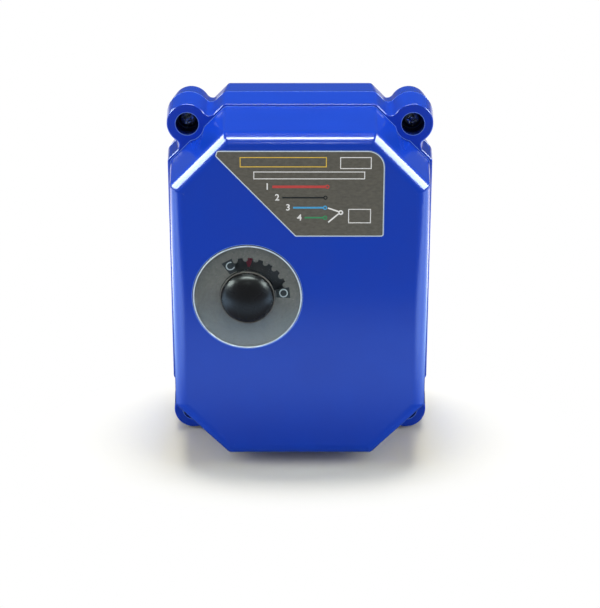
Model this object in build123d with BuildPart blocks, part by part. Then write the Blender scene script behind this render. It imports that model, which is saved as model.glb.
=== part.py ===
from build123d import *
import os
from math import acos, atan2, cos, degrees, hypot, pi, radians, sin, sqrt, tan

# A motorized quarter-turn valve actuator, in millimetres. The output axis is the Y axis, and the
# origin is where it meets the face of the mounting flange. The front, with the dial, looks to -Y,
# and +Z is up. A two-part housing holds a motor, a four-stage gear train, limit switches and a board.

# Housing, overall
body_width = 80.0
body_height = 105.4
corner_reach = 2.76  # from a lug's centre in to the wall of its 45 degree corner
body_depth = 57.2  # front face to rear wall
cover_depth = 38.3  # front face to the joint with the base
rim_depth = 12.3  # thicker rim of the cover, in front of the joint
rim_step = 0.75  # rim to the cover's main wall
boss_height = 4.8  # flange boss, proud of the rear wall
dial_offset = 15.2  # output axis to the middle of the width
dial_height = 54.0  # output axis above the lowest edge
cover_wall = 2.5
joint_wall = 3.2  # width of the faces that meet at the joint
floor_wall = 3.0
rim_draft = 3.4  # degrees
cover_draft = 3.7
base_draft = 4.9
front_round = 4.2
rear_corner = 0.88  # upright edges at the rear, which widen towards the joint
rear_round = 2.0
rim_round = 0.4
boss_chamfer = 0.6
running_gap = 0.05  # radial, between a turning piece and its bearing
seat_gap = 0.02  # radial, between pieces that do not turn on each other
face_gap = 0.1  # between flat faces that slide
hole_gap = 0.15  # radial, between a screw and the hole it passes through
shaft_chamfer = 0.4

# Screw lugs at the four corners
lug_radius = 6.0
lug_blend = 2.0
joint_chamfer = 0.25  # the joint's outer edges, on the cover and on the base
base_lug_depth = 11.5
well_radius = 3.4
well_depth = 8.0
relief_radius = 5.2
cover_screw_radius = 1.5
cover_head_radius = 2.8
cover_head_height = 1.9
cover_screw_reach = 10.0  # into the base
insert_length = 7.0
insert_wall = 0.9

# Joint gasket
gasket_width = 1.5
gasket_depth = 1.2
gasket_inset = 0.85

# Flange, spigot recess and drive, after the F03 pattern
boss_radius = 23.0
spigot_radius = 12.5
spigot_depth = 3.0
bolt_circle = 36.0
bolt_core_radius = 2.1
bolt_insert_radius = 3.5
bolt_insert_length = 6.5
square_drive = 9.0
square_depth = 10.0
hex_drive = 6.0
hex_depth = 8.0
journal_radius = 8.0
journal_gap = 0.3  # radial, to the hole in the floor
seal_section = 1.8
seal_shelf = 0.6  # floor left behind the seal

# Gear train: stub involute teeth, 25 degree pressure angle
pressure_angle = radians(25)
stage_modules = [0.5, 0.6, 0.8, 1.0]  # motor side first
stage_wheels = [44, 40, 36, 36]
stage_pinions = [10, 12, 11, 10]
stage_angles = [160.0, 111.0, 50.0, -10.0]  # from each driven axis to its driver, degrees
wheel_widths = [2.4, 3.0, 3.8, 7.8]
layer_gap = 0.8
gear_rim = 3.0
web_relief = 1.0
pin_radii = [1.25, 1.5, 2.0]
pin_seat = 2.5
hub_wall = 1.5
bush_flange = 1.0
bush_wall = 2.0
front_bush_radius = 8.0

# Gearbox plate
plate_thickness = 2.0
plate_margin = 4.5
post_radius = 2.75
plate_screw_radius = 1.5
plate_screw_reach = 6.0
plate_screw_head = 2.7
post_stud = 2.0
post_stud_radius = 1.5
post_to_lug = (1.42, 3.6)  # from the top right lug's sides in to its post

# Shaft
gear_seat_radius = 7.5
shaft_radius = 6.0
spindle_radius = 5.0
spindle_flat = 4.2
key_width = 4.0
key_height = 2.6
key_angle = 70.0
open_angle = 20.0  # shaft position as modelled, from closed
travel = 90.0
circlip_thickness = 0.7
circlip_groove = 0.5
circlip_lip = 1.6
sleeve_radius = 7.3

# Limit switches and cams
switch_length = 19.8
switch_height = 10.2
switch_thickness = 6.4
cam_width = 3.0
cam_radius = 8.6
cam_lobe_radius = 10.4
cam_lobe_span = 60.0
cam_hub_radius = 7.2
cam_screw_radius = 1.25
cam_trip_margin = 1.3  # degrees short of the switching point at each end of the travel
roller_radius = 1.9
roller_width = 2.0
roller_gap = 0.3  # to the cam
lever_length = 13.5  # pivot to roller
lever_drop = 4.2  # roller to pivot
lever_thickness = 0.4
strip_gap = 0.7  # roller to strip
pivot_inset = 1.4  # pivot to the end of the switch body
lever_width = 3.0
lever_foot = 2.2  # width of the arms that hold the roller
lever_pin_radius = 0.5
lever_pin_reach = 4.0  # pivot to plunger
plunger_height = 0.4
plunger_radius = 1.0
ear_radius = 0.9
ear_width = 1.2
ear_gap = 3.2
switch_screw_radius = 1.0
switch_screw_pitch = 9.5
switch_screw_drop = 7.7  # top of the body to the screws
switch_edge = 0.4
tab_pitch = 7.3
tab_width = 3.2
tab_thickness = 0.6
tab_length = 3.0

# Motor
motor_radius = 12.2
motor_length = 18.0
motor_cap_length = 3.0
motor_shaft_radius = 1.0
motor_boss_radius = 3.5
motor_screw_circle = 17.0
motor_screw_radius = 1.3
motor_screw_reach = 3.0
motor_screw_head = 1.2
motor_shaft_pocket = 6.0
motor_round = 0.8
motor_terminal_pitch = 13.0
motor_tab_width = 2.8
motor_tab_thickness = 0.5
motor_tab_gap = 0.3

# Dial
dial_radius = 15.95
dial_recess = 2.5
dial_gap = 0.15  # radial, around the lens
window_ledge = 2.35
window_wall = 3.0
window_boss = 2.0
lens_thickness = 1.5
lens_proud = 0.5
lens_round = 0.6
dial_plate_thickness = 0.5
dial_plate_hole = 8.1
collar_outer = 8.0
collar_inner = 6.4
collar_reach = 0.6
lens_seal_width = 1.9
plug_radius = 7.5
plug_height = 3.5
plug_reach = 3.3
plug_wall = 1.6
plug_crown = 0.4
disc_radius = 12.6
disc_thickness = 1.5
disc_drop = 1.9  # behind the dial plate
disc_hub_radius = 6.5
closed_mark = 107.4  # dial angle of the pointer when closed, counter-clockwise from +X
mark_step = 15.0
mark_count = 7
mark_width = 1.5
window_top = 11.8
window_notch = 10.7
window_margin = 4.4  # degrees beyond the first and last marks
pointer_inner = 8.4
pointer_outer = 11.6
pointer_width = 2.6
pointer_thickness = 0.4

# Nameplate, from the middle of the width and the lowest edge
label_half_width = 23.8
label_low = 72.5
label_high = 97.7
label_cut = 1.3  # left end of its lower edge, left of the middle
label_tip = 1.5
label_round = 4.8
label_corner = 0.7
label_thickness = 0.45
label_sunk = 0.3

# Control board
board_width = 50.0
board_height = 24.0
board_thickness = 1.6
board_corner = 4.0
board_drop = 37.5  # output axis to the middle of the board
board_lift = 12.2  # floor to the back of the board
board_inset = 3.5
board_post_radius = 2.5
board_screw_radius = 1.0
board_screw_reach = 6.0
part_round = 0.6  # edges of the relays, the capacitors and such
relay_width, relay_height, relay_depth = 15.0, 11.0, 10.5
relay_xs = [-10.7, 5.8]
relay_z = -34.0
pole_count = 4
pole_pitch = 5.0
block_height = 8.0
block_depth = 10.0
pole_radius = 1.8
entry_width, entry_height = 3.5, 3.6
entry_lift = 2.8  # board to the middle of a wire entry
pole_screw_radius = 1.7
pole_screw_height = 2.0
block_x = -8.2
block_z = -44.5
can_radius = 4.0
can_length = 12.0
can_x = 17.8
can_z = -38.0
film_width, film_height, film_depth = 13.0, 5.0, 9.0
film_x = 9.3
film_z = -44.5

# Cable gland
gland_drop = 38.0
gland_thread_radius = 6.0
gland_hex = 15.0
gland_flange = 3.0
gland_nut_length = 10.0
gland_nut_flats = 6.0
gland_dome_radius = 7.1
cable_room = 0.6
gland_bore = 4.4
cable_radius = 2.6
gland_washer = 1.0
gland_collar = 3.5
gland_collar_step = 0.5
gland_lip = 2.2  # end wall of the nut
gland_nut_round = 2.4
washer_rim = 2.0
gland_insert_length = 8.0
locknut_hex = 16.0
locknut_height = 3.0

# Places worked out from the dimensions above
rear_y = -boss_height
floor_y = rear_y - floor_wall
parting_y = rear_y - (body_depth - cover_depth)
ledge_y = parting_y - rim_depth
front_y = rear_y - body_depth
inside_y = front_y + cover_wall
body_x = dial_offset
body_z = body_height / 2 - dial_height
corner_round = rear_corner + (rear_y - parting_y) * tan(radians(base_draft))
rim_lean = rim_depth * tan(radians(rim_draft))
wall_inset = rim_lean + rim_step
joint_lug = lug_radius + rim_lean
lug_inset = joint_lug + seat_gap
corner_leg = 2 * lug_inset + sqrt(2) * corner_reach
lug_places = [
    (body_x + i * (body_width / 2 - lug_inset), body_z + k * (body_height / 2 - lug_inset))
    for i in (-1, 1)
    for k in (-1, 1)
]
lug_post = tuple(a - lug_radius - b for a, b in zip(lug_places[3], post_to_lug))
post_places = [(-12.0, 30.0), lug_post, (46.0, -12.0), (-14.0, -22.0)]


def facing(y):
    """The plane across the drive axis at y that looks to the front, with X right and Z up."""
    return Plane(origin=(0, y, 0), x_dir=(1, 0, 0), z_dir=(0, -1, 0))


def body_outline(y, inset=0.0):
    """The housing's outline at y: a rectangle with 45 degree corners, set in from the joint's."""
    with BuildSketch(facing(y)) as outline:
        with Locations((body_x, body_z)):
            Rectangle(body_width - 2 * inset, body_height - 2 * inset)
        chamfer(outline.vertices(), corner_leg - (2 - sqrt(2)) * inset)
        fillet(outline.vertices(), corner_round)
    return outline.sketch


def hexagon(across):
    """The radius of a hexagon's corners from its size across the flats."""
    return across / sqrt(3)


def polar(radius, angle):
    """A point of the XZ plane, by distance from the output axis and angle in degrees."""
    return (radius * cos(radians(angle)), radius * sin(radians(angle)))


def label_outline(y, gap=0.0):
    """The nameplate's outline at y: one large round corner and one cut off at 45 degrees."""
    low, high = label_low - dial_height, label_high - dial_height
    left, right = body_x - label_half_width, body_x + label_half_width
    with BuildSketch(facing(y)) as outline:
        with BuildLine():
            Polyline(
                (right, high),
                (right, low),
                (body_x - label_cut, low),
                (left, high - label_tip),
                (left + label_tip / 3, high),
                close=True,
            )
        make_face()
        fillet(outline.vertices().sort_by(Axis.X)[0:3], label_corner)
        fillet(outline.vertices().group_by(Axis.X)[-1].sort_by(Axis.Y)[-1], label_round)
        fillet(outline.vertices().group_by(Axis.X)[-1].sort_by(Axis.Y)[0], label_corner)
        if gap:
            offset(amount=gap)
    return outline.sketch


def dial_window(y):
    """The arc window of the dial plate, with a silver finger reaching in at each mark."""
    first, last = closed_mark + window_margin, closed_mark - travel - window_margin
    with BuildSketch(facing(y)) as window:
        with BuildLine():
            arc = ThreePointArc(
                polar(window_top, first), polar(window_top, (first + last) / 2), polar(window_top, last)
            )
            Polyline(arc @ 1, (0, 0), arc @ 0)
        make_face()
        for mark in range(mark_count):
            angle = closed_mark - mark * mark_step
            with Locations(polar(window_notch + mark_width / 2, angle)):
                Circle(mark_width / 2, mode=Mode.SUBTRACT)
            with Locations(polar(window_top, angle)):
                length = 2 * (window_top - window_notch) - mark_width
                Rectangle(length, mark_width, rotation=angle, mode=Mode.SUBTRACT)
    return window.sketch


def spindle_section(y, gap=0.0):
    """The D-shaped section of the shaft's front end, turned with the shaft."""
    with BuildSketch(facing(y)) as section:
        Circle(spindle_radius + gap)
        with Locations((spindle_flat + gap + spindle_radius, 0)):
            Rectangle(2 * spindle_radius, 4 * spindle_radius, mode=Mode.SUBTRACT)
    return section.sketch.rotate(Axis.Y, open_angle)


def disc(y, length, radius, bore=0.0, at=(0, 0)):
    """A round piece, or one at each of several places, from y towards the front."""
    with BuildPart() as made:
        with BuildSketch(facing(y)):
            with Locations(at):
                Circle(radius)
                if bore:
                    Circle(bore, mode=Mode.SUBTRACT)
        extrude(amount=length)
    return made.part


def gear_outline(teeth, module, phase):
    """The closed outline of a spur gear about the origin, with one tooth at the phase angle."""
    pitch = module * teeth / 2
    base = pitch * cos(pressure_angle)
    radii = [pitch - 1.05 * module, base, pitch, pitch + 0.8 * module]
    half_tooth = pi / (2 * teeth) - 0.04 * module / (2 * pitch)
    involute = tan(pressure_angle) - pressure_angle
    points = []
    for tooth in range(teeth):
        middle = radians(phase) + 2 * pi * tooth / teeth
        flank = []
        for radius in radii:
            roll = acos(base / radius) if radius > base else 0.0
            flank.append((radius, half_tooth + involute - (tan(roll) - roll)))
        points += [(r * cos(middle - a), r * sin(middle - a)) for r, a in flank]
        points += [(r * cos(middle + a), r * sin(middle + a)) for r, a in reversed(flank)]
    return points


def gear(y, width, teeth, module, phase, at, bore):
    """A spur gear from y towards the front, centred at a place in the XZ plane."""
    with BuildPart() as made:
        with BuildSketch(facing(y)):
            with Locations(at):
                Polygon(*gear_outline(teeth, module, phase), align=None)
                Circle(bore, mode=Mode.SUBTRACT)
        extrude(amount=width)
    return made.part


def pan_screw(y, head_radius, head_height, radius, length, places):
    """Pan-head screws whose heads stand from y to the front, with a cross recess."""
    slot = head_radius * 1.1
    with BuildPart() as made:
        with BuildSketch(facing(y)):
            with Locations(*places):
                Circle(head_radius)
        extrude(amount=head_height)
        fillet(made.faces().sort_by(Axis.Y)[0:len(places)].edges(), head_height * 0.45)
        with BuildSketch(facing(y)):
            with Locations(*places):
                Circle(radius)
        extrude(amount=-length)
        with BuildSketch(facing(y - head_height)):
            with Locations(*places):
                Rectangle(slot, slot / 4)
                Rectangle(slot / 4, slot)
        extrude(amount=-head_height / 2, mode=Mode.SUBTRACT)
    return made.part


def finish(shape, name):
    """Names a finished piece and writes it to its own file."""
    shape.label = name
    export_step(shape, f"parts/{name}.step")


os.makedirs("parts", exist_ok=True)

# --- Where the gears stand: the output wheel first, then each driver back to the motor ---
centres = [(0.0, 0.0)]
for module, wheel, pinion, angle in zip(
    reversed(stage_modules), reversed(stage_wheels), reversed(stage_pinions), reversed(stage_angles)
):
    reach = module * (wheel + pinion) / 2 + 0.05 * module
    x, z = centres[0]
    centres.insert(0, (x + reach * cos(radians(angle)), z + reach * sin(radians(angle))))
motor_at, gear_places = centres[0], centres[1:4]

# A driver's tooth meets a gap of its wheel on the line between their axes.
pinion_phases = []
for wheel, pinion, angle in zip(stage_wheels, stage_pinions, stage_angles):
    wheel_place = angle * wheel / 360
    pinion_phases.append(angle + 180 - (0.5 - wheel_place) * 360 / pinion)

# Each stage is a layer across the axis, the output stage rearmost.
layer_y = [0.0] * 4
layer_y[3] = floor_y - bush_flange - 2 * face_gap
for stage in (2, 1, 0):
    layer_y[stage] = layer_y[stage + 1] - wheel_widths[stage + 1] - layer_gap - 2 * face_gap
plate_y = layer_y[0] - wheel_widths[0] - layer_gap - 4 * face_gap
plate_front = plate_y - plate_thickness

# Shaft places, rear to front
shaft_rear = -spigot_depth - 2 * face_gap
gear_seat_front = layer_y[3] - wheel_widths[3]
circlip_y = plate_front - 2 * face_gap
spindle_y = circlip_y - circlip_thickness - 2 * face_gap
closed_cam_y = plate_front - switch_thickness / 2 + cam_width / 2
open_cam_y = closed_cam_y - switch_thickness
shaft_front = front_y + plug_reach + 2 * face_gap
cam_hub_width = switch_thickness - cam_width - face_gap
open_hub_front = open_cam_y - cam_width - cam_hub_width
hub_screw_axis = Vector(cos(radians(open_angle)), 0, -sin(radians(open_angle)))
lens_front = front_y - lens_proud
lens_rear = lens_front + lens_thickness
plate_rear = lens_rear + seat_gap + dial_plate_thickness
disc_y = plate_rear + disc_drop + disc_thickness

# Places of the loose pieces
gland_at = (body_x, -gland_drop)
board_posts = [
    (body_x + i * (board_width / 2 - board_inset), k * (board_height / 2 - board_inset) - board_drop)
    for i in (-1, 1)
    for k in (-1, 1)
]
bolt_places = [
    (bolt_circle / 2 * cos(radians(a)), bolt_circle / 2 * sin(radians(a))) for a in (45, 135, 225, 315)
]
motor_screw_places = [
    (
        motor_at[0] + i * motor_screw_circle / 2 * cos(radians(stage_angles[0] + 90)),
        motor_at[1] + i * motor_screw_circle / 2 * sin(radians(stage_angles[0] + 90)),
    )
    for i in (-1, 1)
]
terminal_places = [(motor_at[0] + i * motor_terminal_pitch / 2, motor_at[1]) for i in (-1, 1)]
board_y = floor_y - board_lift
pole_places = [
    (body_x + block_x + (i - (pole_count - 1) / 2) * pole_pitch, block_z) for i in range(pole_count)
]
roller_reach = cam_radius + roller_gap + roller_radius
roller_at = (0, -roller_reach)
pivot_at = (lever_length, -roller_reach - lever_drop)
strip_end = (-lever_foot / 4, -roller_reach - roller_radius - strip_gap)
switch_top = pivot_at[1] - ear_radius - face_gap
switch_x = lever_length + pivot_inset - switch_length / 2
switch_screw_places = [
    (switch_x + i * switch_screw_pitch / 2, switch_top - switch_screw_drop) for i in (-1, 1)
]
seal_pocket_y = -spigot_depth - seal_shelf
bush_y = seal_pocket_y - seal_section - face_gap
bush_outer = journal_radius + bush_wall

# --- Base housing ---
with BuildPart() as base_housing:
    extrude(body_outline(parting_y), amount=parting_y - rear_y, taper=base_draft)
    with BuildSketch(facing(parting_y)):
        with Locations(*lug_places):
            Circle(joint_lug)
    extrude(amount=-base_lug_depth, taper=base_draft)
    fillet(base_housing.edges().filter_by(GeomType.PARABOLA), lug_blend)
    chamfer(base_housing.faces().sort_by(Axis.Y)[0].edges(), joint_chamfer)
    fillet(base_housing.faces().sort_by(Axis.Y)[-1].edges(), rear_round)
    with BuildSketch(facing(rear_y - floor_wall / 2)):
        Circle(boss_radius)
    extrude(amount=-boss_height - floor_wall / 2)
    chamfer(base_housing.faces().sort_by(Axis.Y)[-1].edges(), boss_chamfer)
    inside = body_outline(parting_y, joint_wall)
    extrude(inside, amount=parting_y - floor_y, taper=base_draft, mode=Mode.SUBTRACT)
    with BuildSketch(facing(floor_y)):
        with Locations(*board_posts):
            Circle(board_post_radius)
    extrude(amount=board_lift)
    with BuildSketch(facing(floor_y)):
        for place, pin in zip(gear_places, pin_radii):
            with Locations(place):
                Circle(pin + hub_wall)
    extrude(amount=bush_flange)
    with BuildSketch(facing(floor_y - bush_flange)):
        for place, pin in zip(gear_places, pin_radii):
            with Locations(place):
                Circle(pin + seat_gap)
    extrude(amount=-pin_seat, mode=Mode.SUBTRACT)
    with BuildSketch(facing(board_y)):
        with Locations(*board_posts):
            Circle(board_screw_radius + seat_gap)
    extrude(amount=-board_screw_reach - 1, mode=Mode.SUBTRACT)
    with BuildSketch(facing(floor_y)):
        with Locations(*post_places):
            Circle(post_stud_radius + seat_gap)
    extrude(amount=-post_stud - face_gap, mode=Mode.SUBTRACT)
    with BuildSketch(facing(parting_y)):
        with Locations(*lug_places):
            Circle(cover_screw_radius + seat_gap + insert_wall)
    extrude(amount=-insert_length - face_gap, mode=Mode.SUBTRACT)
    with BuildSketch(facing(parting_y)):
        with Locations(*lug_places):
            Circle(cover_screw_radius + hole_gap)
    extrude(amount=-cover_screw_reach - face_gap, mode=Mode.SUBTRACT)
    with BuildSketch(facing(parting_y)):
        add(body_outline(parting_y, gasket_inset - seat_gap))
        add(body_outline(parting_y, gasket_inset + gasket_width + seat_gap), mode=Mode.SUBTRACT)
    extrude(amount=-gasket_depth, mode=Mode.SUBTRACT)
    with BuildSketch(facing(0)):
        Circle(spigot_radius)
    extrude(amount=spigot_depth, mode=Mode.SUBTRACT)
    with BuildSketch(facing(0)):
        Circle(journal_radius + journal_gap)
    extrude(amount=-floor_y, mode=Mode.SUBTRACT)
    with BuildSketch(facing(seal_pocket_y)):
        Circle(bush_outer + seat_gap)
    extrude(amount=seal_pocket_y - floor_y, mode=Mode.SUBTRACT)
    with BuildSketch(facing(0)):
        with Locations(*bolt_places):
            Circle(bolt_insert_radius + seat_gap)
    extrude(amount=bolt_insert_length + face_gap, mode=Mode.SUBTRACT)
    with BuildSketch(facing(0)):
        with Locations(gland_at):
            Circle(gland_thread_radius + hole_gap)
    extrude(amount=-floor_y, mode=Mode.SUBTRACT)
finish(base_housing.part, "base_housing")

# --- Cover ---
main_depth = cover_depth - rim_depth
dial_boss_radius = dial_radius + window_wall
with BuildPart() as cover:
    extrude(body_outline(parting_y), amount=rim_depth, taper=rim_draft)
    with BuildSketch(facing(parting_y)):
        with Locations(*lug_places):
            Circle(joint_lug)
    extrude(amount=rim_depth, taper=rim_draft)
    fillet(cover.edges().filter_by(GeomType.PARABOLA), lug_blend)
    chamfer(cover.faces().sort_by(Axis.Y)[-1].edges(), joint_chamfer)
    fillet(cover.faces().sort_by(Axis.Y)[0].edges(), rim_round)
    extrude(body_outline(ledge_y, wall_inset), amount=main_depth, taper=cover_draft)
    fillet(cover.faces().sort_by(Axis.Y)[0].edges(), front_round)
    inside = body_outline(parting_y, joint_wall)
    extrude(inside, amount=parting_y - inside_y, taper=cover_draft, mode=Mode.SUBTRACT)
    with BuildSketch(facing(inside_y + window_boss)):
        Circle(dial_boss_radius)
    extrude(amount=window_boss + cover_wall / 2)
    with BuildSketch(facing(front_y)):
        Circle(dial_radius)
    extrude(amount=-dial_recess, mode=Mode.SUBTRACT)
    with BuildSketch(facing(front_y)):
        Circle(dial_radius - window_ledge)
    extrude(amount=-cover_wall - window_boss, mode=Mode.SUBTRACT)
    with BuildSketch(facing(ledge_y)):
        with Locations(*lug_places):
            Circle(relief_radius)
    extrude(amount=main_depth, mode=Mode.SUBTRACT)
    with BuildSketch(facing(ledge_y)):
        with Locations(*lug_places):
            Circle(well_radius)
    extrude(amount=-well_depth, mode=Mode.SUBTRACT)
    with BuildSketch(facing(ledge_y)):
        with Locations(*lug_places):
            Circle(cover_screw_radius + hole_gap)
    extrude(amount=-rim_depth, mode=Mode.SUBTRACT)
    extrude(label_outline(front_y, seat_gap), amount=-label_sunk, mode=Mode.SUBTRACT)
finish(cover.part, "cover")

with BuildPart() as cover_gasket:
    with BuildSketch(facing(parting_y)):
        add(body_outline(parting_y, gasket_inset))
        add(body_outline(parting_y, gasket_inset + gasket_width), mode=Mode.SUBTRACT)
    extrude(amount=-gasket_depth + seat_gap)
finish(cover_gasket.part, "cover_gasket")

finish(
    pan_screw(
        ledge_y + well_depth,
        cover_head_radius,
        cover_head_height,
        cover_screw_radius,
        rim_depth - well_depth + cover_screw_reach,
        lug_places,
    ),
    "cover_screws",
)

with BuildPart() as cover_inserts:
    with BuildSketch(facing(parting_y + face_gap)):
        with Locations(*lug_places):
            Circle(cover_screw_radius + insert_wall)
            Circle(cover_screw_radius + seat_gap, mode=Mode.SUBTRACT)
    extrude(amount=-insert_length + face_gap)
finish(cover_inserts.part, "cover_inserts")

with BuildPart() as flange_inserts:
    with BuildSketch(facing(-face_gap)):
        with Locations(*bolt_places):
            Circle(bolt_insert_radius)
            Circle(bolt_core_radius, mode=Mode.SUBTRACT)
    extrude(amount=bolt_insert_length - face_gap)
finish(flange_inserts.part, "flange_inserts")

with BuildPart() as nameplate:
    extrude(label_outline(front_y + label_sunk), amount=label_thickness)
finish(nameplate.part, "nameplate")

# --- Dial: seal, printed plate and clear lens in the cover's recess ---
recess_floor_y = front_y + dial_recess
seal_outer = dial_radius - dial_gap
seal_height = recess_floor_y - plate_rear - seat_gap
finish(disc(recess_floor_y, seal_height, seal_outer, seal_outer - lens_seal_width), "lens_seal")

with BuildPart() as dial_plate:
    with BuildSketch(facing(plate_rear)):
        Circle(dial_radius - 2 * dial_gap)
        Circle(dial_plate_hole, mode=Mode.SUBTRACT)
        add(dial_window(plate_rear), mode=Mode.SUBTRACT)
    extrude(amount=dial_plate_thickness)
finish(dial_plate.part, "dial_plate")

with BuildPart() as dial_lens:
    with BuildSketch(facing(lens_rear)):
        Circle(dial_radius - dial_gap)
    extrude(amount=lens_thickness)
    fillet(dial_lens.faces().sort_by(Axis.Y)[0].edges(), lens_round)
    with BuildSketch(facing(plate_rear + collar_reach)):
        Circle(collar_outer)
    extrude(amount=plate_rear + collar_reach - lens_rear)
    with BuildSketch(facing(plate_rear + collar_reach)):
        Circle(collar_inner)
    extrude(amount=plate_rear + collar_reach - lens_front, mode=Mode.SUBTRACT)
finish(dial_lens.part, "dial_lens")

# Rubber dome plug over the manual drive: half an ellipse on a hollow stem
plug_base = lens_front - face_gap
stem_radius = collar_inner - 2 * running_gap
with BuildPart() as override_plug:
    with BuildSketch(Plane.XY):
        with BuildLine():
            EllipticalCenterArc((0, plug_base), plug_radius, plug_height, start_angle=270, arc_size=90)
            Polyline(
                (plug_radius, plug_base),
                (stem_radius, plug_base),
                (stem_radius, plug_base + plug_reach),
                (stem_radius - plug_wall, plug_base + plug_reach),
                (stem_radius - plug_wall, plug_base + plug_crown),
                (0, plug_base + plug_crown),
                (0, plug_base - plug_height),
            )
        make_face()
    revolve(axis=Axis.Y)
finish(override_plug.part, "override_plug")

# --- Output shaft and what turns with it ---
with BuildPart() as output_shaft:
    for rear, front, radius in (
        (shaft_rear, layer_y[3], journal_radius),
        (layer_y[3], gear_seat_front, gear_seat_radius),
        (gear_seat_front, spindle_y, shaft_radius),
    ):
        with BuildSketch(facing(rear)):
            Circle(radius)
        extrude(amount=rear - front)
    chamfer(output_shaft.faces().sort_by(Axis.Y)[-1].edges(), shaft_chamfer)
    extrude(spindle_section(spindle_y), amount=spindle_y - shaft_front)
    chamfer(output_shaft.faces().sort_by(Axis.Y)[0].edges(), shaft_chamfer)
    with BuildSketch(facing(shaft_rear)):
        Rectangle(square_drive, square_drive, rotation=-open_angle)
    extrude(amount=square_depth, mode=Mode.SUBTRACT)
    with BuildSketch(facing(shaft_front)):
        RegularPolygon(hexagon(hex_drive), 6, rotation=-open_angle)
    extrude(amount=-hex_depth, mode=Mode.SUBTRACT)
    with BuildSketch(facing(circlip_y)):
        Circle(shaft_radius)
        Circle(shaft_radius - circlip_groove, mode=Mode.SUBTRACT)
    extrude(amount=circlip_thickness + seat_gap, mode=Mode.SUBTRACT)
    with BuildSketch(facing(layer_y[3])):
        with Locations(polar(gear_seat_radius, key_angle)):
            Rectangle(key_height, key_width, rotation=key_angle)
    extrude(amount=wheel_widths[3], mode=Mode.SUBTRACT)
finish(output_shaft.part, "output_shaft")

with BuildPart() as gear_key:
    with BuildSketch(facing(layer_y[3] - face_gap)):
        with Locations(polar(gear_seat_radius, key_angle)):
            Rectangle(key_height - 2 * seat_gap, key_width - 2 * seat_gap, rotation=key_angle)
    extrude(amount=wheel_widths[3] - 2 * face_gap)
    chamfer(gear_key.edges().filter_by(Axis.Y), shaft_chamfer / 2)
finish(gear_key.part, "gear_key")

with BuildPart() as output_gear:
    bore = gear_seat_radius + seat_gap
    add(gear(layer_y[3], wheel_widths[3], stage_wheels[3], stage_modules[3], 0, (0, 0), bore))
    with BuildSketch(facing(layer_y[3])):
        with Locations(polar(gear_seat_radius, key_angle)):
            Rectangle(key_height, key_width, rotation=key_angle)
    extrude(amount=wheel_widths[3], mode=Mode.SUBTRACT)
    with BuildSketch(facing(gear_seat_front)):
        Circle(stage_wheels[3] * stage_modules[3] / 2 - gear_rim)
        Circle(gear_seat_radius + gear_rim, mode=Mode.SUBTRACT)
    extrude(amount=-web_relief, mode=Mode.SUBTRACT)
finish(output_gear.part, "output_gear")

sleeve_y = gear_seat_front - face_gap
sleeve_length = sleeve_y - plate_y - bush_flange - 2 * face_gap
finish(disc(sleeve_y, sleeve_length, sleeve_radius, shaft_radius + seat_gap), "shaft_sleeve")

with BuildPart() as circlip:
    with BuildSketch(facing(circlip_y)):
        Circle(shaft_radius + circlip_lip)
        Circle(shaft_radius - circlip_groove + seat_gap, mode=Mode.SUBTRACT)
        with Locations((0, -shaft_radius)):
            Rectangle(shaft_radius, 2 * shaft_radius, mode=Mode.SUBTRACT)
    extrude(amount=circlip_thickness)
finish(circlip.part.rotate(Axis.Y, open_angle), "circlip")

# Each cam trips its switch just as the shaft reaches that end of its travel.
switch_side = 270.0
roller_half = degrees(
    acos((cam_lobe_radius**2 + roller_reach**2 - roller_radius**2) / (2 * cam_lobe_radius * roller_reach))
)
for name, cam_y, trip in (
    ("closed_cam", closed_cam_y, open_angle),
    ("open_cam", open_cam_y, open_angle - travel),
):
    side = 1 if trip > 0 else -1
    edge = switch_side - trip - side * (roller_half + cam_trip_margin)
    with BuildPart() as cam:
        with BuildSketch(facing(cam_y)):
            Circle(cam_radius)
            with BuildLine():
                lobe_start = polar(cam_lobe_radius, edge)
                lobe_end = polar(cam_lobe_radius, edge - side * cam_lobe_span)
                middle = polar(cam_lobe_radius, edge - side * cam_lobe_span / 2)
                ThreePointArc(lobe_start, middle, lobe_end)
                Polyline(lobe_end, (0, 0), lobe_start)
            make_face()
            add(spindle_section(cam_y, seat_gap), mode=Mode.SUBTRACT)
        extrude(amount=cam_width)
        with BuildSketch(facing(cam_y - cam_width)):
            Circle(cam_hub_radius)
            add(spindle_section(cam_y - cam_width, seat_gap), mode=Mode.SUBTRACT)
        extrude(amount=cam_hub_width)
        hub_middle = Vector(0, cam_y - cam_width - cam_hub_width / 2, 0)
        with BuildSketch(Plane(origin=hub_middle, z_dir=hub_screw_axis)):
            Circle(cam_screw_radius + seat_gap)
        extrude(amount=cam_hub_radius, mode=Mode.SUBTRACT)
    finish(cam.part, name)

with BuildPart() as cam_screws:
    for cam_y in (closed_cam_y, open_cam_y):
        hub_middle = Vector(0, cam_y - cam_width - cam_hub_width / 2, 0)
        seat = hub_middle + hub_screw_axis * (spindle_flat + face_gap)
        with BuildSketch(Plane(origin=seat, z_dir=hub_screw_axis)):
            Circle(cam_screw_radius)
            RegularPolygon(cam_screw_radius / 2, 6, mode=Mode.SUBTRACT)
        extrude(amount=cam_hub_radius - spindle_flat - 3 * face_gap)
finish(cam_screws.part, "cam_screws")

with BuildPart() as pointer_disc:
    with BuildSketch(facing(disc_y)):
        Circle(disc_radius)
        add(spindle_section(disc_y, seat_gap), mode=Mode.SUBTRACT)
    extrude(amount=disc_thickness)
    with BuildSketch(facing(open_hub_front - face_gap)):
        Circle(disc_hub_radius)
        add(spindle_section(open_hub_front, seat_gap), mode=Mode.SUBTRACT)
    extrude(amount=open_hub_front - face_gap - disc_y)
finish(pointer_disc.part, "pointer_disc")

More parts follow.
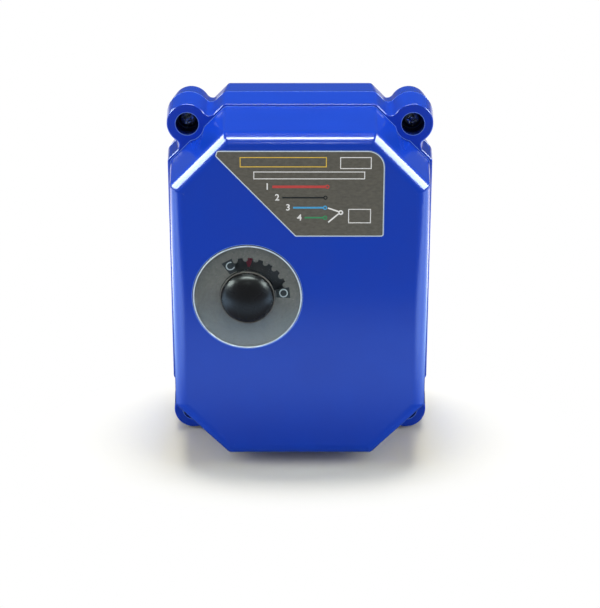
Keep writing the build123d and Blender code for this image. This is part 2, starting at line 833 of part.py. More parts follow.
with BuildPart() as pointer:
    with BuildSketch(facing(disc_y - disc_thickness)):
        with BuildLine():
            Polyline(
                (pointer_inner, -pointer_width / 8),
                (pointer_outer, -pointer_width / 2),
                (pointer_outer, pointer_width / 2),
                (pointer_inner, pointer_width / 8),
                close=True,
            )
        make_face()
    extrude(amount=pointer_thickness)
finish(pointer.part.rotate(Axis.Y, open_angle - closed_mark), "pointer")

# --- Bearings and seal ---
with BuildPart() as rear_bush:
    bore = journal_radius + running_gap
    add(disc(bush_y, bush_y - floor_y, bush_outer, bore))
    add(disc(floor_y, bush_flange, bush_outer + bush_flange, bore))
finish(rear_bush.part, "rear_bush")

with BuildPart() as front_bush:
    bore = shaft_radius + running_gap
    add(disc(plate_y + bush_flange, bush_flange, front_bush_radius + bush_flange, bore))
    add(disc(plate_y, plate_thickness, front_bush_radius, bore))
finish(front_bush.part, "front_bush")

with BuildPart() as shaft_seal:
    with BuildSketch(Plane.XY):
        half = seal_section / 2
        with Locations((journal_radius + running_gap + half, seal_pocket_y - half)):
            Circle(half)
    revolve(axis=Axis.Y)
finish(shaft_seal.part, "shaft_seal")

# --- Gear train ---
hub_front = plate_y + face_gap
for stage, (place, pin) in enumerate(zip(gear_places, pin_radii)):
    bore = pin + running_gap
    pinion_y, pinion_width = layer_y[stage + 1] + face_gap, wheel_widths[stage + 1] + 4 * face_gap
    module, teeth = stage_modules[stage + 1], stage_pinions[stage + 1]
    hub = module * (teeth / 2 - 1.05)
    hub_rear = floor_y - bush_flange - face_gap
    with BuildPart() as compound:
        width, wheel = wheel_widths[stage], stage_wheels[stage]
        add(gear(layer_y[stage], width, wheel, stage_modules[stage], 0, place, bore))
        add(gear(pinion_y, pinion_width, teeth, module, pinion_phases[stage + 1], place, bore))
        add(disc(hub_rear, hub_rear - hub_front, hub, bore, place))
    finish(compound.part, f"gear_{stage + 1}")

with BuildPart() as gear_pins:
    for place, pin in zip(gear_places, pin_radii):
        pin_rear = floor_y - bush_flange + pin_seat - face_gap
        with BuildSketch(facing(pin_rear)):
            with Locations(place):
                Circle(pin)
        extrude(amount=pin_rear - plate_front)
finish(gear_pins.part, "gear_pins")

finish(
    gear(
        layer_y[0] + face_gap,
        wheel_widths[0] + 4 * face_gap,
        stage_pinions[0],
        stage_modules[0],
        pinion_phases[0],
        motor_at,
        motor_shaft_radius + seat_gap,
    ),
    "motor_pinion",
)

# --- Gearbox plate, posts and screws ---
with BuildPart() as gearbox_plate:
    with BuildSketch(facing(plate_y)):
        Polygon(*post_places, align=None)
        offset(amount=plate_margin)
        Circle(front_bush_radius + seat_gap, mode=Mode.SUBTRACT)
        with Locations(motor_at):
            Circle(motor_boss_radius + seat_gap, mode=Mode.SUBTRACT)
        with Locations(*post_places):
            Circle(plate_screw_radius + hole_gap, mode=Mode.SUBTRACT)
        with Locations(*motor_screw_places):
            Circle(motor_screw_radius + hole_gap, mode=Mode.SUBTRACT)
        for place, pin in zip(gear_places, pin_radii):
            with Locations(place):
                Circle(pin + seat_gap, mode=Mode.SUBTRACT)
        with Locations(*switch_screw_places):
            Circle(switch_screw_radius + seat_gap, mode=Mode.SUBTRACT)
    extrude(amount=plate_thickness)
finish(gearbox_plate.part, "gearbox_plate")

with BuildPart() as plate_posts:
    with BuildSketch(facing(floor_y)):
        with Locations(*post_places):
            RegularPolygon(post_radius, 6)
    extrude(amount=floor_y - plate_y)
    with BuildSketch(facing(floor_y)):
        with Locations(*post_places):
            Circle(post_stud_radius)
    extrude(amount=-post_stud)
    with BuildSketch(facing(plate_y)):
        with Locations(*post_places):
            Circle(plate_screw_radius + seat_gap)
    extrude(amount=-plate_screw_reach - 1, mode=Mode.SUBTRACT)
finish(plate_posts.part, "plate_posts")

finish(
    pan_screw(
        plate_front,
        plate_screw_head,
        plate_screw_radius * 1.2,
        plate_screw_radius,
        plate_thickness + plate_screw_reach,
        post_places,
    ),
    "plate_screws",
)

# --- Motor ---
motor_front = plate_front - motor_length
with BuildPart() as motor_can:
    with BuildSketch(facing(plate_front)):
        with Locations(motor_at):
            Circle(motor_radius)
    extrude(amount=motor_length)
    fillet(motor_can.edges(), motor_round)
    with BuildSketch(facing(plate_front)):
        with Locations(motor_at):
            Circle(motor_boss_radius)
    extrude(amount=-plate_thickness + face_gap)
    with BuildSketch(facing(plate_y)):
        with Locations(motor_at):
            Circle(motor_shaft_radius + running_gap)
    extrude(amount=plate_thickness + motor_shaft_pocket, mode=Mode.SUBTRACT)
    with BuildSketch(facing(plate_front)):
        with Locations(*motor_screw_places):
            Circle(motor_screw_radius + seat_gap)
    extrude(amount=motor_screw_reach + 1, mode=Mode.SUBTRACT)
finish(motor_can.part, "motor_can")

tab_seat_y = motor_front - motor_cap_length + motor_round
with BuildPart() as motor_cap:
    with BuildSketch(facing(motor_front)):
        with Locations(motor_at):
            Circle(motor_radius - motor_round)
    extrude(amount=motor_cap_length)
    fillet(motor_cap.faces().sort_by(Axis.Y)[0].edges(), motor_round)
    with BuildSketch(facing(tab_seat_y)):
        with Locations(*terminal_places):
            Rectangle(motor_tab_width + 2 * motor_tab_gap, motor_tab_thickness + 2 * motor_tab_gap)
    extrude(amount=motor_cap_length, mode=Mode.SUBTRACT)
finish(motor_cap.part, "motor_cap")

with BuildPart() as motor_terminals:
    with BuildSketch(facing(tab_seat_y)):
        with Locations(*terminal_places):
            Rectangle(motor_tab_width, motor_tab_thickness)
    extrude(amount=motor_cap_length)
finish(motor_terminals.part, "motor_terminals")

shaft_back = layer_y[0] + face_gap
shaft_length = shaft_back - plate_front + motor_shaft_pocket - 4 * face_gap
finish(disc(shaft_back, shaft_length, motor_shaft_radius, at=motor_at), "motor_shaft")

with BuildPart() as motor_screws:
    with BuildSketch(facing(plate_y)):
        with Locations(*motor_screw_places):
            Circle(motor_screw_radius * 1.7)
    extrude(amount=-motor_screw_head)
    with BuildSketch(facing(plate_y)):
        with Locations(*motor_screw_places):
            Circle(motor_screw_radius)
    extrude(amount=plate_thickness + motor_screw_reach)
finish(motor_screws.part, "motor_screws")

# --- Limit switches: two bodies stacked on the plate, each with a roller lever under its cam ---
for name, cam_y in (("closed", closed_cam_y), ("open", open_cam_y)):
    middle_y = cam_y - cam_width / 2
    back_y = middle_y + switch_thickness / 2
    with BuildPart() as switch:
        with BuildSketch(facing(back_y)):
            with Locations((switch_x, switch_top - switch_height / 2)):
                Rectangle(switch_length, switch_height)
            with Locations(*switch_screw_places):
                Circle(switch_screw_radius + hole_gap, mode=Mode.SUBTRACT)
        extrude(amount=switch_thickness)
        chamfer(switch.edges().filter_by(Axis.Y).filter_by(GeomType.LINE), switch_edge)
        with BuildSketch(facing(middle_y + ear_gap / 2 + ear_width), facing(middle_y - ear_gap / 2)):
            with Locations(pivot_at):
                Circle(ear_radius)
            with Locations((pivot_at[0], (pivot_at[1] + switch_top) / 2)):
                Rectangle(2 * ear_radius, pivot_at[1] - switch_top)
            with Locations(pivot_at):
                Circle(lever_pin_radius + seat_gap, mode=Mode.SUBTRACT)
        extrude(amount=ear_width)
        plunger_seat = (pivot_at[0] - lever_pin_reach, middle_y, switch_top)
        with BuildSketch(Plane(origin=plunger_seat, z_dir=(0, 0, 1))):
            Circle(plunger_radius)
        extrude(amount=plunger_height)
    finish(switch.part, f"{name}_switch")

    with BuildPart() as lever:
        with BuildSketch(facing(middle_y + lever_width / 2)):
            with Locations(pivot_at):
                Circle(ear_radius)
            with Locations(((pivot_at[0] + strip_end[0]) / 2, (pivot_at[1] + strip_end[1]) / 2)):
                Rectangle(
                    hypot(pivot_at[0] - strip_end[0], pivot_at[1] - strip_end[1]),
                    lever_thickness,
                    rotation=degrees(atan2(strip_end[1] - pivot_at[1], strip_end[0] - pivot_at[0])),
                )
            with Locations(pivot_at):
                Circle(lever_pin_radius + running_gap, mode=Mode.SUBTRACT)
        extrude(amount=lever_width)
        arm_width = (lever_width - roller_width) / 2 - face_gap
        lever_back, front_arm = middle_y + lever_width / 2, middle_y - lever_width / 2 + arm_width
        with BuildSketch(facing(lever_back), facing(front_arm)):
            with Locations(roller_at):
                Circle(lever_foot / 2)
            with Locations((0, (strip_end[1] - roller_reach) / 2)):
                Rectangle(lever_foot, -roller_reach - strip_end[1])
        extrude(amount=arm_width)
        with BuildSketch(facing(middle_y + lever_width / 2)):
            with Locations(roller_at):
                Circle(lever_pin_radius)
        extrude(amount=lever_width)
    finish(lever.part, f"{name}_lever")
    roller = disc(
        middle_y + roller_width / 2, roller_width, roller_radius, lever_pin_radius + seat_gap, roller_at
    )
    finish(roller, f"{name}_roller")

with BuildPart() as lever_pins:
    for cam_y in (closed_cam_y, open_cam_y):
        pin_y = cam_y - cam_width / 2 + switch_thickness / 2 - face_gap
        add(disc(pin_y, switch_thickness - 2 * face_gap, lever_pin_radius, at=pivot_at))
finish(lever_pins.part, "lever_pins")

tab_places = [
    (switch_x + i * tab_pitch, switch_top - switch_height - tab_length / 2) for i in (-1, 0, 1)
]
with BuildPart() as switch_terminals:
    for cam_y in (closed_cam_y, open_cam_y):
        with BuildSketch(facing(cam_y - cam_width / 2 + tab_width / 2)):
            with Locations(*tab_places):
                Rectangle(tab_thickness, tab_length)
        extrude(amount=tab_width)
finish(switch_terminals.part, "switch_terminals")

finish(
    pan_screw(
        open_cam_y - cam_width / 2 - switch_thickness / 2,
        switch_screw_radius * 1.9,
        switch_screw_radius * 1.3,
        switch_screw_radius,
        2 * switch_thickness + plate_thickness,
        switch_screw_places,
    ),
    "switch_screws",
)

# --- Control board ---
with BuildPart() as circuit_board:
    with BuildSketch(facing(board_y)) as board_outline:
        with Locations((body_x, -board_drop)):
            Rectangle(board_width, board_height)
        chamfer(board_outline.vertices(), board_corner)
        with Locations(*board_posts):
            Circle(board_screw_radius + hole_gap, mode=Mode.SUBTRACT)
    extrude(amount=board_thickness)
finish(circuit_board.part, "circuit_board")

board_front = board_y - board_thickness
finish(
    pan_screw(
        board_front,
        board_screw_radius * 2.2,
        board_screw_radius * 1.5,
        board_screw_radius,
        board_thickness + board_screw_reach,
        board_posts,
    ),
    "board_screws",
)

with BuildPart() as relays:
    with BuildSketch(facing(board_front)):
        with Locations(*[(body_x + x, relay_z) for x in relay_xs]):
            Rectangle(relay_width, relay_height)
    extrude(amount=relay_depth)
    fillet(relays.edges().filter_by(Axis.Y), part_round)
finish(relays.part, "relays")

with BuildPart() as terminal_block:
    with BuildSketch(facing(board_front)):
        with Locations((body_x + block_x, block_z)):
            Rectangle(pole_pitch * pole_count, block_height)
    extrude(amount=block_depth)
    with BuildSketch(facing(board_front - block_depth)):
        with Locations(*pole_places):
            Circle(pole_radius)
    extrude(amount=-block_depth / 2, mode=Mode.SUBTRACT)
    with BuildSketch(Plane(origin=(0, 0, block_z - block_height / 2), z_dir=(0, 0, -1))):
        with Locations(*[(x, -board_front + entry_lift) for x, z in pole_places]):
            Rectangle(entry_width, entry_height)
    extrude(amount=-block_height / 2, mode=Mode.SUBTRACT)
finish(terminal_block.part, "terminal_block")

pole_seat_y = board_front - block_depth / 2 - face_gap
with BuildPart() as terminal_screws:
    add(disc(pole_seat_y, pole_screw_height, pole_screw_radius, at=pole_places))
    with BuildSketch(facing(pole_seat_y - pole_screw_height)):
        with Locations(*pole_places):
            Rectangle(2 * pole_screw_radius, pole_screw_radius / 3)
    extrude(amount=-pole_screw_height / 2, mode=Mode.SUBTRACT)
finish(terminal_screws.part, "terminal_screws")

with BuildPart() as capacitor:
    with BuildSketch(facing(board_front)):
        with Locations((body_x + can_x, can_z)):
            Circle(can_radius)
    extrude(amount=can_length)
    fillet(capacitor.faces().sort_by(Axis.Y)[0].edges(), part_round)
finish(capacitor.part, "capacitor")

with BuildPart() as film_capacitor:
    with BuildSketch(facing(board_front)):
        with Locations((body_x + film_x, film_z)):
            Rectangle(film_width, film_height)
    extrude(amount=film_depth)
    fillet(film_capacitor.edges().filter_by(Axis.Y), part_round)
finish(film_capacitor.part, "film_capacitor")

# --- Cable gland in the rear wall ---
gland_seat = rear_y + gland_washer
nut_y = gland_seat + gland_flange + face_gap
gland_end_y = nut_y + gland_nut_length
collar_radius = gland_thread_radius - gland_collar_step
washer_radius = gland_thread_radius + washer_rim
gland_hole = gland_thread_radius + hole_gap
finish(disc(gland_seat, gland_washer, washer_radius, gland_hole, gland_at), "gland_washer")

thread_end_y = floor_y - locknut_height - 1
with BuildPart() as gland_body:
    with BuildSketch(facing(gland_seat + gland_flange)):
        with Locations(gland_at):
            RegularPolygon(hexagon(gland_hex), 6)
    extrude(amount=gland_flange)
    with BuildSketch(facing(gland_seat)):
        with Locations(gland_at):
            Circle(gland_thread_radius)
    extrude(amount=gland_seat - thread_end_y)
    with BuildSketch(facing(nut_y + gland_collar)):
        with Locations(gland_at):
            Circle(collar_radius)
    extrude(amount=gland_collar + face_gap)
    with BuildSketch(facing(nut_y + gland_collar)):
        with Locations(gland_at):
            Circle(gland_bore)
    extrude(amount=nut_y + gland_collar - thread_end_y, mode=Mode.SUBTRACT)
finish(gland_body.part, "gland_body")

with BuildPart() as gland_locknut:
    with BuildSketch(facing(floor_y - face_gap)):
        with Locations(gland_at):
            RegularPolygon(hexagon(locknut_hex), 6)
            Circle(gland_thread_radius + seat_gap, mode=Mode.SUBTRACT)
    extrude(amount=locknut_height)
finish(gland_locknut.part, "gland_locknut")

insert_y = gland_end_y - gland_lip - face_gap
finish(disc(insert_y, gland_insert_length, gland_bore - face_gap, cable_radius, gland_at), "gland_insert")

with BuildPart() as gland_nut:
    with BuildSketch(facing(nut_y + gland_nut_flats)):
        with Locations(gland_at):
            RegularPolygon(hexagon(gland_hex), 6)
    extrude(amount=gland_nut_flats)
    with BuildSketch(facing(gland_end_y)):
        with Locations(gland_at):
            Circle(gland_dome_radius)
    extrude(amount=gland_nut_length - gland_nut_flats)
    fillet(gland_nut.faces().sort_by(Axis.Y)[-1].edges(), gland_nut_round)
    for radius, reach in (
        (collar_radius + seat_gap, gland_collar + face_gap),
        (gland_bore + face_gap, gland_nut_length - gland_lip),
        (cable_radius + cable_room, gland_nut_length),
    ):
        with BuildSketch(facing(nut_y)):
            with Locations(gland_at):
                Circle(radius)
        extrude(amount=-reach, mode=Mode.SUBTRACT)
finish(gland_nut.part, "gland_nut")
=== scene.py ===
import random
from math import atan2, cos, pi, radians, sin, tau

import bmesh
import bpy
from mathutils import Matrix, Vector


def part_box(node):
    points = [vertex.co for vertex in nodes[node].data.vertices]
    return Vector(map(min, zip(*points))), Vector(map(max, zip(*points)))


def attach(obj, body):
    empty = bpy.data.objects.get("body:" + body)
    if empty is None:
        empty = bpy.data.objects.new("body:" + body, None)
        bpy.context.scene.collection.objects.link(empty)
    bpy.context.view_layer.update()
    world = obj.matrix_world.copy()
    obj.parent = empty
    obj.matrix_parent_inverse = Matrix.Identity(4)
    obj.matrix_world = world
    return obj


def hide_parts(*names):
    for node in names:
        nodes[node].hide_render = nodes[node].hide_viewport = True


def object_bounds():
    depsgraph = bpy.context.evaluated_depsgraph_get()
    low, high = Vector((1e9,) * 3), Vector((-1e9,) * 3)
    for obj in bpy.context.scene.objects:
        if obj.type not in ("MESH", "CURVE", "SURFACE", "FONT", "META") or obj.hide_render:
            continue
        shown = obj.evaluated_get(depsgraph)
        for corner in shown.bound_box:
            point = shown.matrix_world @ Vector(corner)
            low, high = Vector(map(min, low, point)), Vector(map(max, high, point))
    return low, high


# A motorized quarter-turn valve actuator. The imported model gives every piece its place; this
# script gives the finishes, the printed marks, the screws, the threads, the board and the studio.
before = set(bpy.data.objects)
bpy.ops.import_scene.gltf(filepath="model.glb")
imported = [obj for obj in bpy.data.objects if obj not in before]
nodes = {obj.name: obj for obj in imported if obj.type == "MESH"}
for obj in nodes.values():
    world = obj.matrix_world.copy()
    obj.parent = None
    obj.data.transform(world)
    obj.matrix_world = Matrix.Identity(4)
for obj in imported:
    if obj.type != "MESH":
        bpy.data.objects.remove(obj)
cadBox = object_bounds()
scene = bpy.context.scene
mm = 0.001
random.seed(11)

camera = {
    "lens": 99.83, "sensor": 36, "nearest": 0.01,
    "place": (0.0152, -0.5184, 0.1709),
    "aim": (0.0152, -0.062, -0.00214),
}

# In metres from the drive axis. "In gloss" is what mirror-like reflections show of the studio;
# where a pair of places is given, the value fades in from the first to the second.
studio = {
    "floorSize": 3.0,
    "floorColour": (0.90, 0.885, 0.775),
    "floorMiddle": (0.0152, -0.040, -0.054),
    "floorShape": (0.95, 1.45, 1.0),  # the shadow is shorter to the front than to the sides
    "floorFade": (0.040, 0.080),  # how far from the middle the shadow has died away
    "floorNear": (1.0, 0.93, 0.64),  # beside the object, warmer against the blue it throws there
    "floorNearSides": (0.012, 0.030),
    "floorNearEnd": (0.028, 0.048),
    "floorNearFront": (-0.070, -0.050),
    "floorSides": (0.055, 0.120),  # in gloss, the bright floor to the left and right
    "floorSidesFront": (-0.22, -0.17),
    "floorSidesRear": (0.12, 0.20),
    "floorSidesBright": 3.2,
    "floorFront": (-0.215, -0.160),  # in gloss, the pale floor before the object
    "floorFrontBright": 1.2,
    "floorShade": (-0.13, -0.078),  # where the object's own shadow darkens it
    "floorShaded": 0.1,
    "floorRear": (0.03, 0.09),  # in gloss, the white floor behind, seen in the flange's metal
    "floorRearEnd": (0.50, 0.80),
    "floorRearBright": 0.95,
    "fill": 0.45,  # the room's light on everything
    "glossTint": (0.50, 0.74, 1.0),  # the cool colour of the room and the floor in gloss
    "glossLamps": (0.86, 1.0, 0.95),
    "roomInGloss": 0.06,
    "rearInGloss": 0.15,  # the room and the floor behind the object
    "rearSpan": (0.3, 0.8),  # how far a direction leans to the rear
    "sidesInGloss": 0.9,
    "sidesSpan": (0.55, 0.86),  # how far a direction leans to a side
    "lampsAim": (0.0152, -0.03, 0.0),
}

# Place, width and height in metres, and how bright the face is. A box lights only the matt
# side of a surface ("matt") or shows only in its gloss ("gloss").
softboxes = {
    "keyBox": {
        "place": (0.015, 0.07, 0.62), "size": (0.38, 0.17), "bright": 19.5, "only": "matt",
    },
    "leftBox": {
        "place": (-0.50, -0.10, 0.10), "size": (0.24, 0.30), "bright": 4.2, "only": "matt",
    },
    "rightBox": {
        "place": (0.53, -0.10, 0.10), "size": (0.24, 0.30), "bright": 4.2, "only": "matt",
    },
    "leftPanel": {
        "place": (-0.465, -0.08, 0.280), "size": (0.56, 0.19), "bright": 21.0, "only": "gloss",
    },
    "rightPanel": {
        "place": (0.495, -0.08, 0.280), "size": (0.56, 0.19), "bright": 21.0, "only": "gloss",
    },
    "frontLamp": {
        "place": (0.015, -0.56, 0.345), "size": (0.07, 0.035), "bright": 14.0, "only": "gloss",
    },
    "topStrip": {
        "place": (0.015, -0.27, 0.555), "size": (0.42, 0.14), "bright": 34.0, "only": "gloss",
    },
}


def addNode(tree, kind, settings=(), inputs=()):
    made = tree.nodes.new("ShaderNode" + kind)
    for key, value in dict(settings).items():
        setattr(made, key, value)
    for key, value in dict(inputs).items():
        if isinstance(value, bpy.types.NodeSocket):
            tree.links.new(value, made.inputs[key])
        else:
            made.inputs[key].default_value = value
    return made


def remap(tree, value, low, high, toLow=0.0, toHigh=1.0, smooth=False):
    made = addNode(tree, "MapRange", {"interpolation_type": "SMOOTHSTEP" if smooth else "LINEAR"})
    tree.links.new(value, made.inputs[0])
    for key, number in enumerate((low, high, toLow, toHigh), 1):
        made.inputs[key].default_value = number
    return made.outputs[0]


def mixColours(tree, share, first, second):
    made = addNode(tree, "Mix", {"data_type": "RGBA"}, {0: share, 7: (*second, 1)})
    if isinstance(first, bpy.types.NodeSocket):
        tree.links.new(first, made.inputs[6])
    else:
        made.inputs[6].default_value = (*first, 1)
    return made.outputs[2]


def maths(tree, kind, first, second=0.0):
    return addNode(tree, "Math", {"operation": kind}, {0: first, 1: second}).outputs[0]


noiseDetail = {"Detail": 3.0, "Roughness": 0.55}
blotchSpan = (0.3, 0.7)
maskSamples = 8


def pattern(tree, kind, scale, stretch=(1, 1, 1)):
    # a height from 0 to 1 over the piece, with scale in cells per metre
    spot = addNode(tree, "TexCoord").outputs["Object"]
    if kind == "rings":  # turning marks round the drive axis
        split = addNode(tree, "SeparateXYZ", (), {0: spot}).outputs
        squares = [maths(tree, "MULTIPLY", split[i], split[i]) for i in (0, 2)]
        out = maths(tree, "SQRT", maths(tree, "ADD", *squares))
        spot = addNode(tree, "CombineXYZ", (), {0: out, 1: split[1]}).outputs[0]
    elif stretch != (1, 1, 1):
        spot = addNode(tree, "Mapping", (), {"Vector": spot, "Scale": stretch}).outputs[0]
    if kind == "cells":
        return addNode(tree, "TexVoronoi", (), {"Vector": spot, "Scale": scale}).outputs["Distance"]
    wanted = {"Vector": spot, "Scale": scale, **noiseDetail}
    return addNode(tree, "TexNoise", (), wanted).outputs["Fac"]


plainSockets = {
    "metal": "Metallic", "ior": "IOR", "coat": "Coat Weight", "coatRough": "Coat Roughness",
    "level": "Specular IOR Level", "under": "Subsurface Weight",
}


def nearEdges(tree, radius, gentle, sharp):
    # 0 on flat and softly rounded faces, 1 within radius of a sharp edge
    rounded = addNode(tree, "Bevel", {"samples": maskSamples}, {"Radius": radius}).outputs[0]
    flat = addNode(tree, "NewGeometry").outputs["Normal"]
    agree = addNode(tree, "VectorMath", {"operation": "DOT_PRODUCT"}, {0: rounded, 1: flat})
    return remap(tree, agree.outputs["Value"], sharp, gentle, 1.0, 0.0)


def deepInHoles(tree, reach, deep, mouth):
    # 1 far down a narrow hole, 0 at its mouth and on open faces
    wanted = {"samples": maskSamples, "only_local": True}
    sky = addNode(tree, "AmbientOcclusion", wanted, {"Distance": reach}).outputs["AO"]
    return remap(tree, sky, deep, mouth, 1.0, 0.0)


def makeFinish(name, look):
    made = bpy.data.materials.new(name)
    made.use_nodes = True
    tree = made.node_tree
    shader = tree.nodes["Principled BSDF"]
    for key, socket in plainSockets.items():
        if key in look:
            shader.inputs[socket].default_value = look[key]
    made.diffuse_color = (*look["colour"], 1)
    blotch = pattern(tree, *look["blotch"])
    spread = remap(tree, blotch, *blotchSpan)
    shade = mixColours(tree, spread, look["colour"], look["shade"])
    # painted highlight: a paler colour near sharp edges
    if "edge" in look:
        shade = mixColours(tree, nearEdges(tree, *look["edge"]), shade, look["edgeHighlightColour"])
    # painted shade: a darker colour far down narrow holes
    if "hole" in look:
        shade = mixColours(tree, deepInHoles(tree, *look["hole"]), shade, look["holeShadeColour"])
    tree.links.new(shade, shader.inputs["Base Color"])
    rough = remap(tree, blotch, *blotchSpan, *look["rough"])
    tree.links.new(rough, shader.inputs["Roughness"])
    last = None
    for kind, scale, depth, *more in look["grain"]:
        height = pattern(tree, kind, scale, *more)
        bump = addNode(tree, "Bump", (), {"Height": height, "Distance": depth})
        if last:
            tree.links.new(last, bump.inputs["Normal"])
        last = bump.outputs[0]
    tree.links.new(last, shader.inputs["Normal"])
    return made


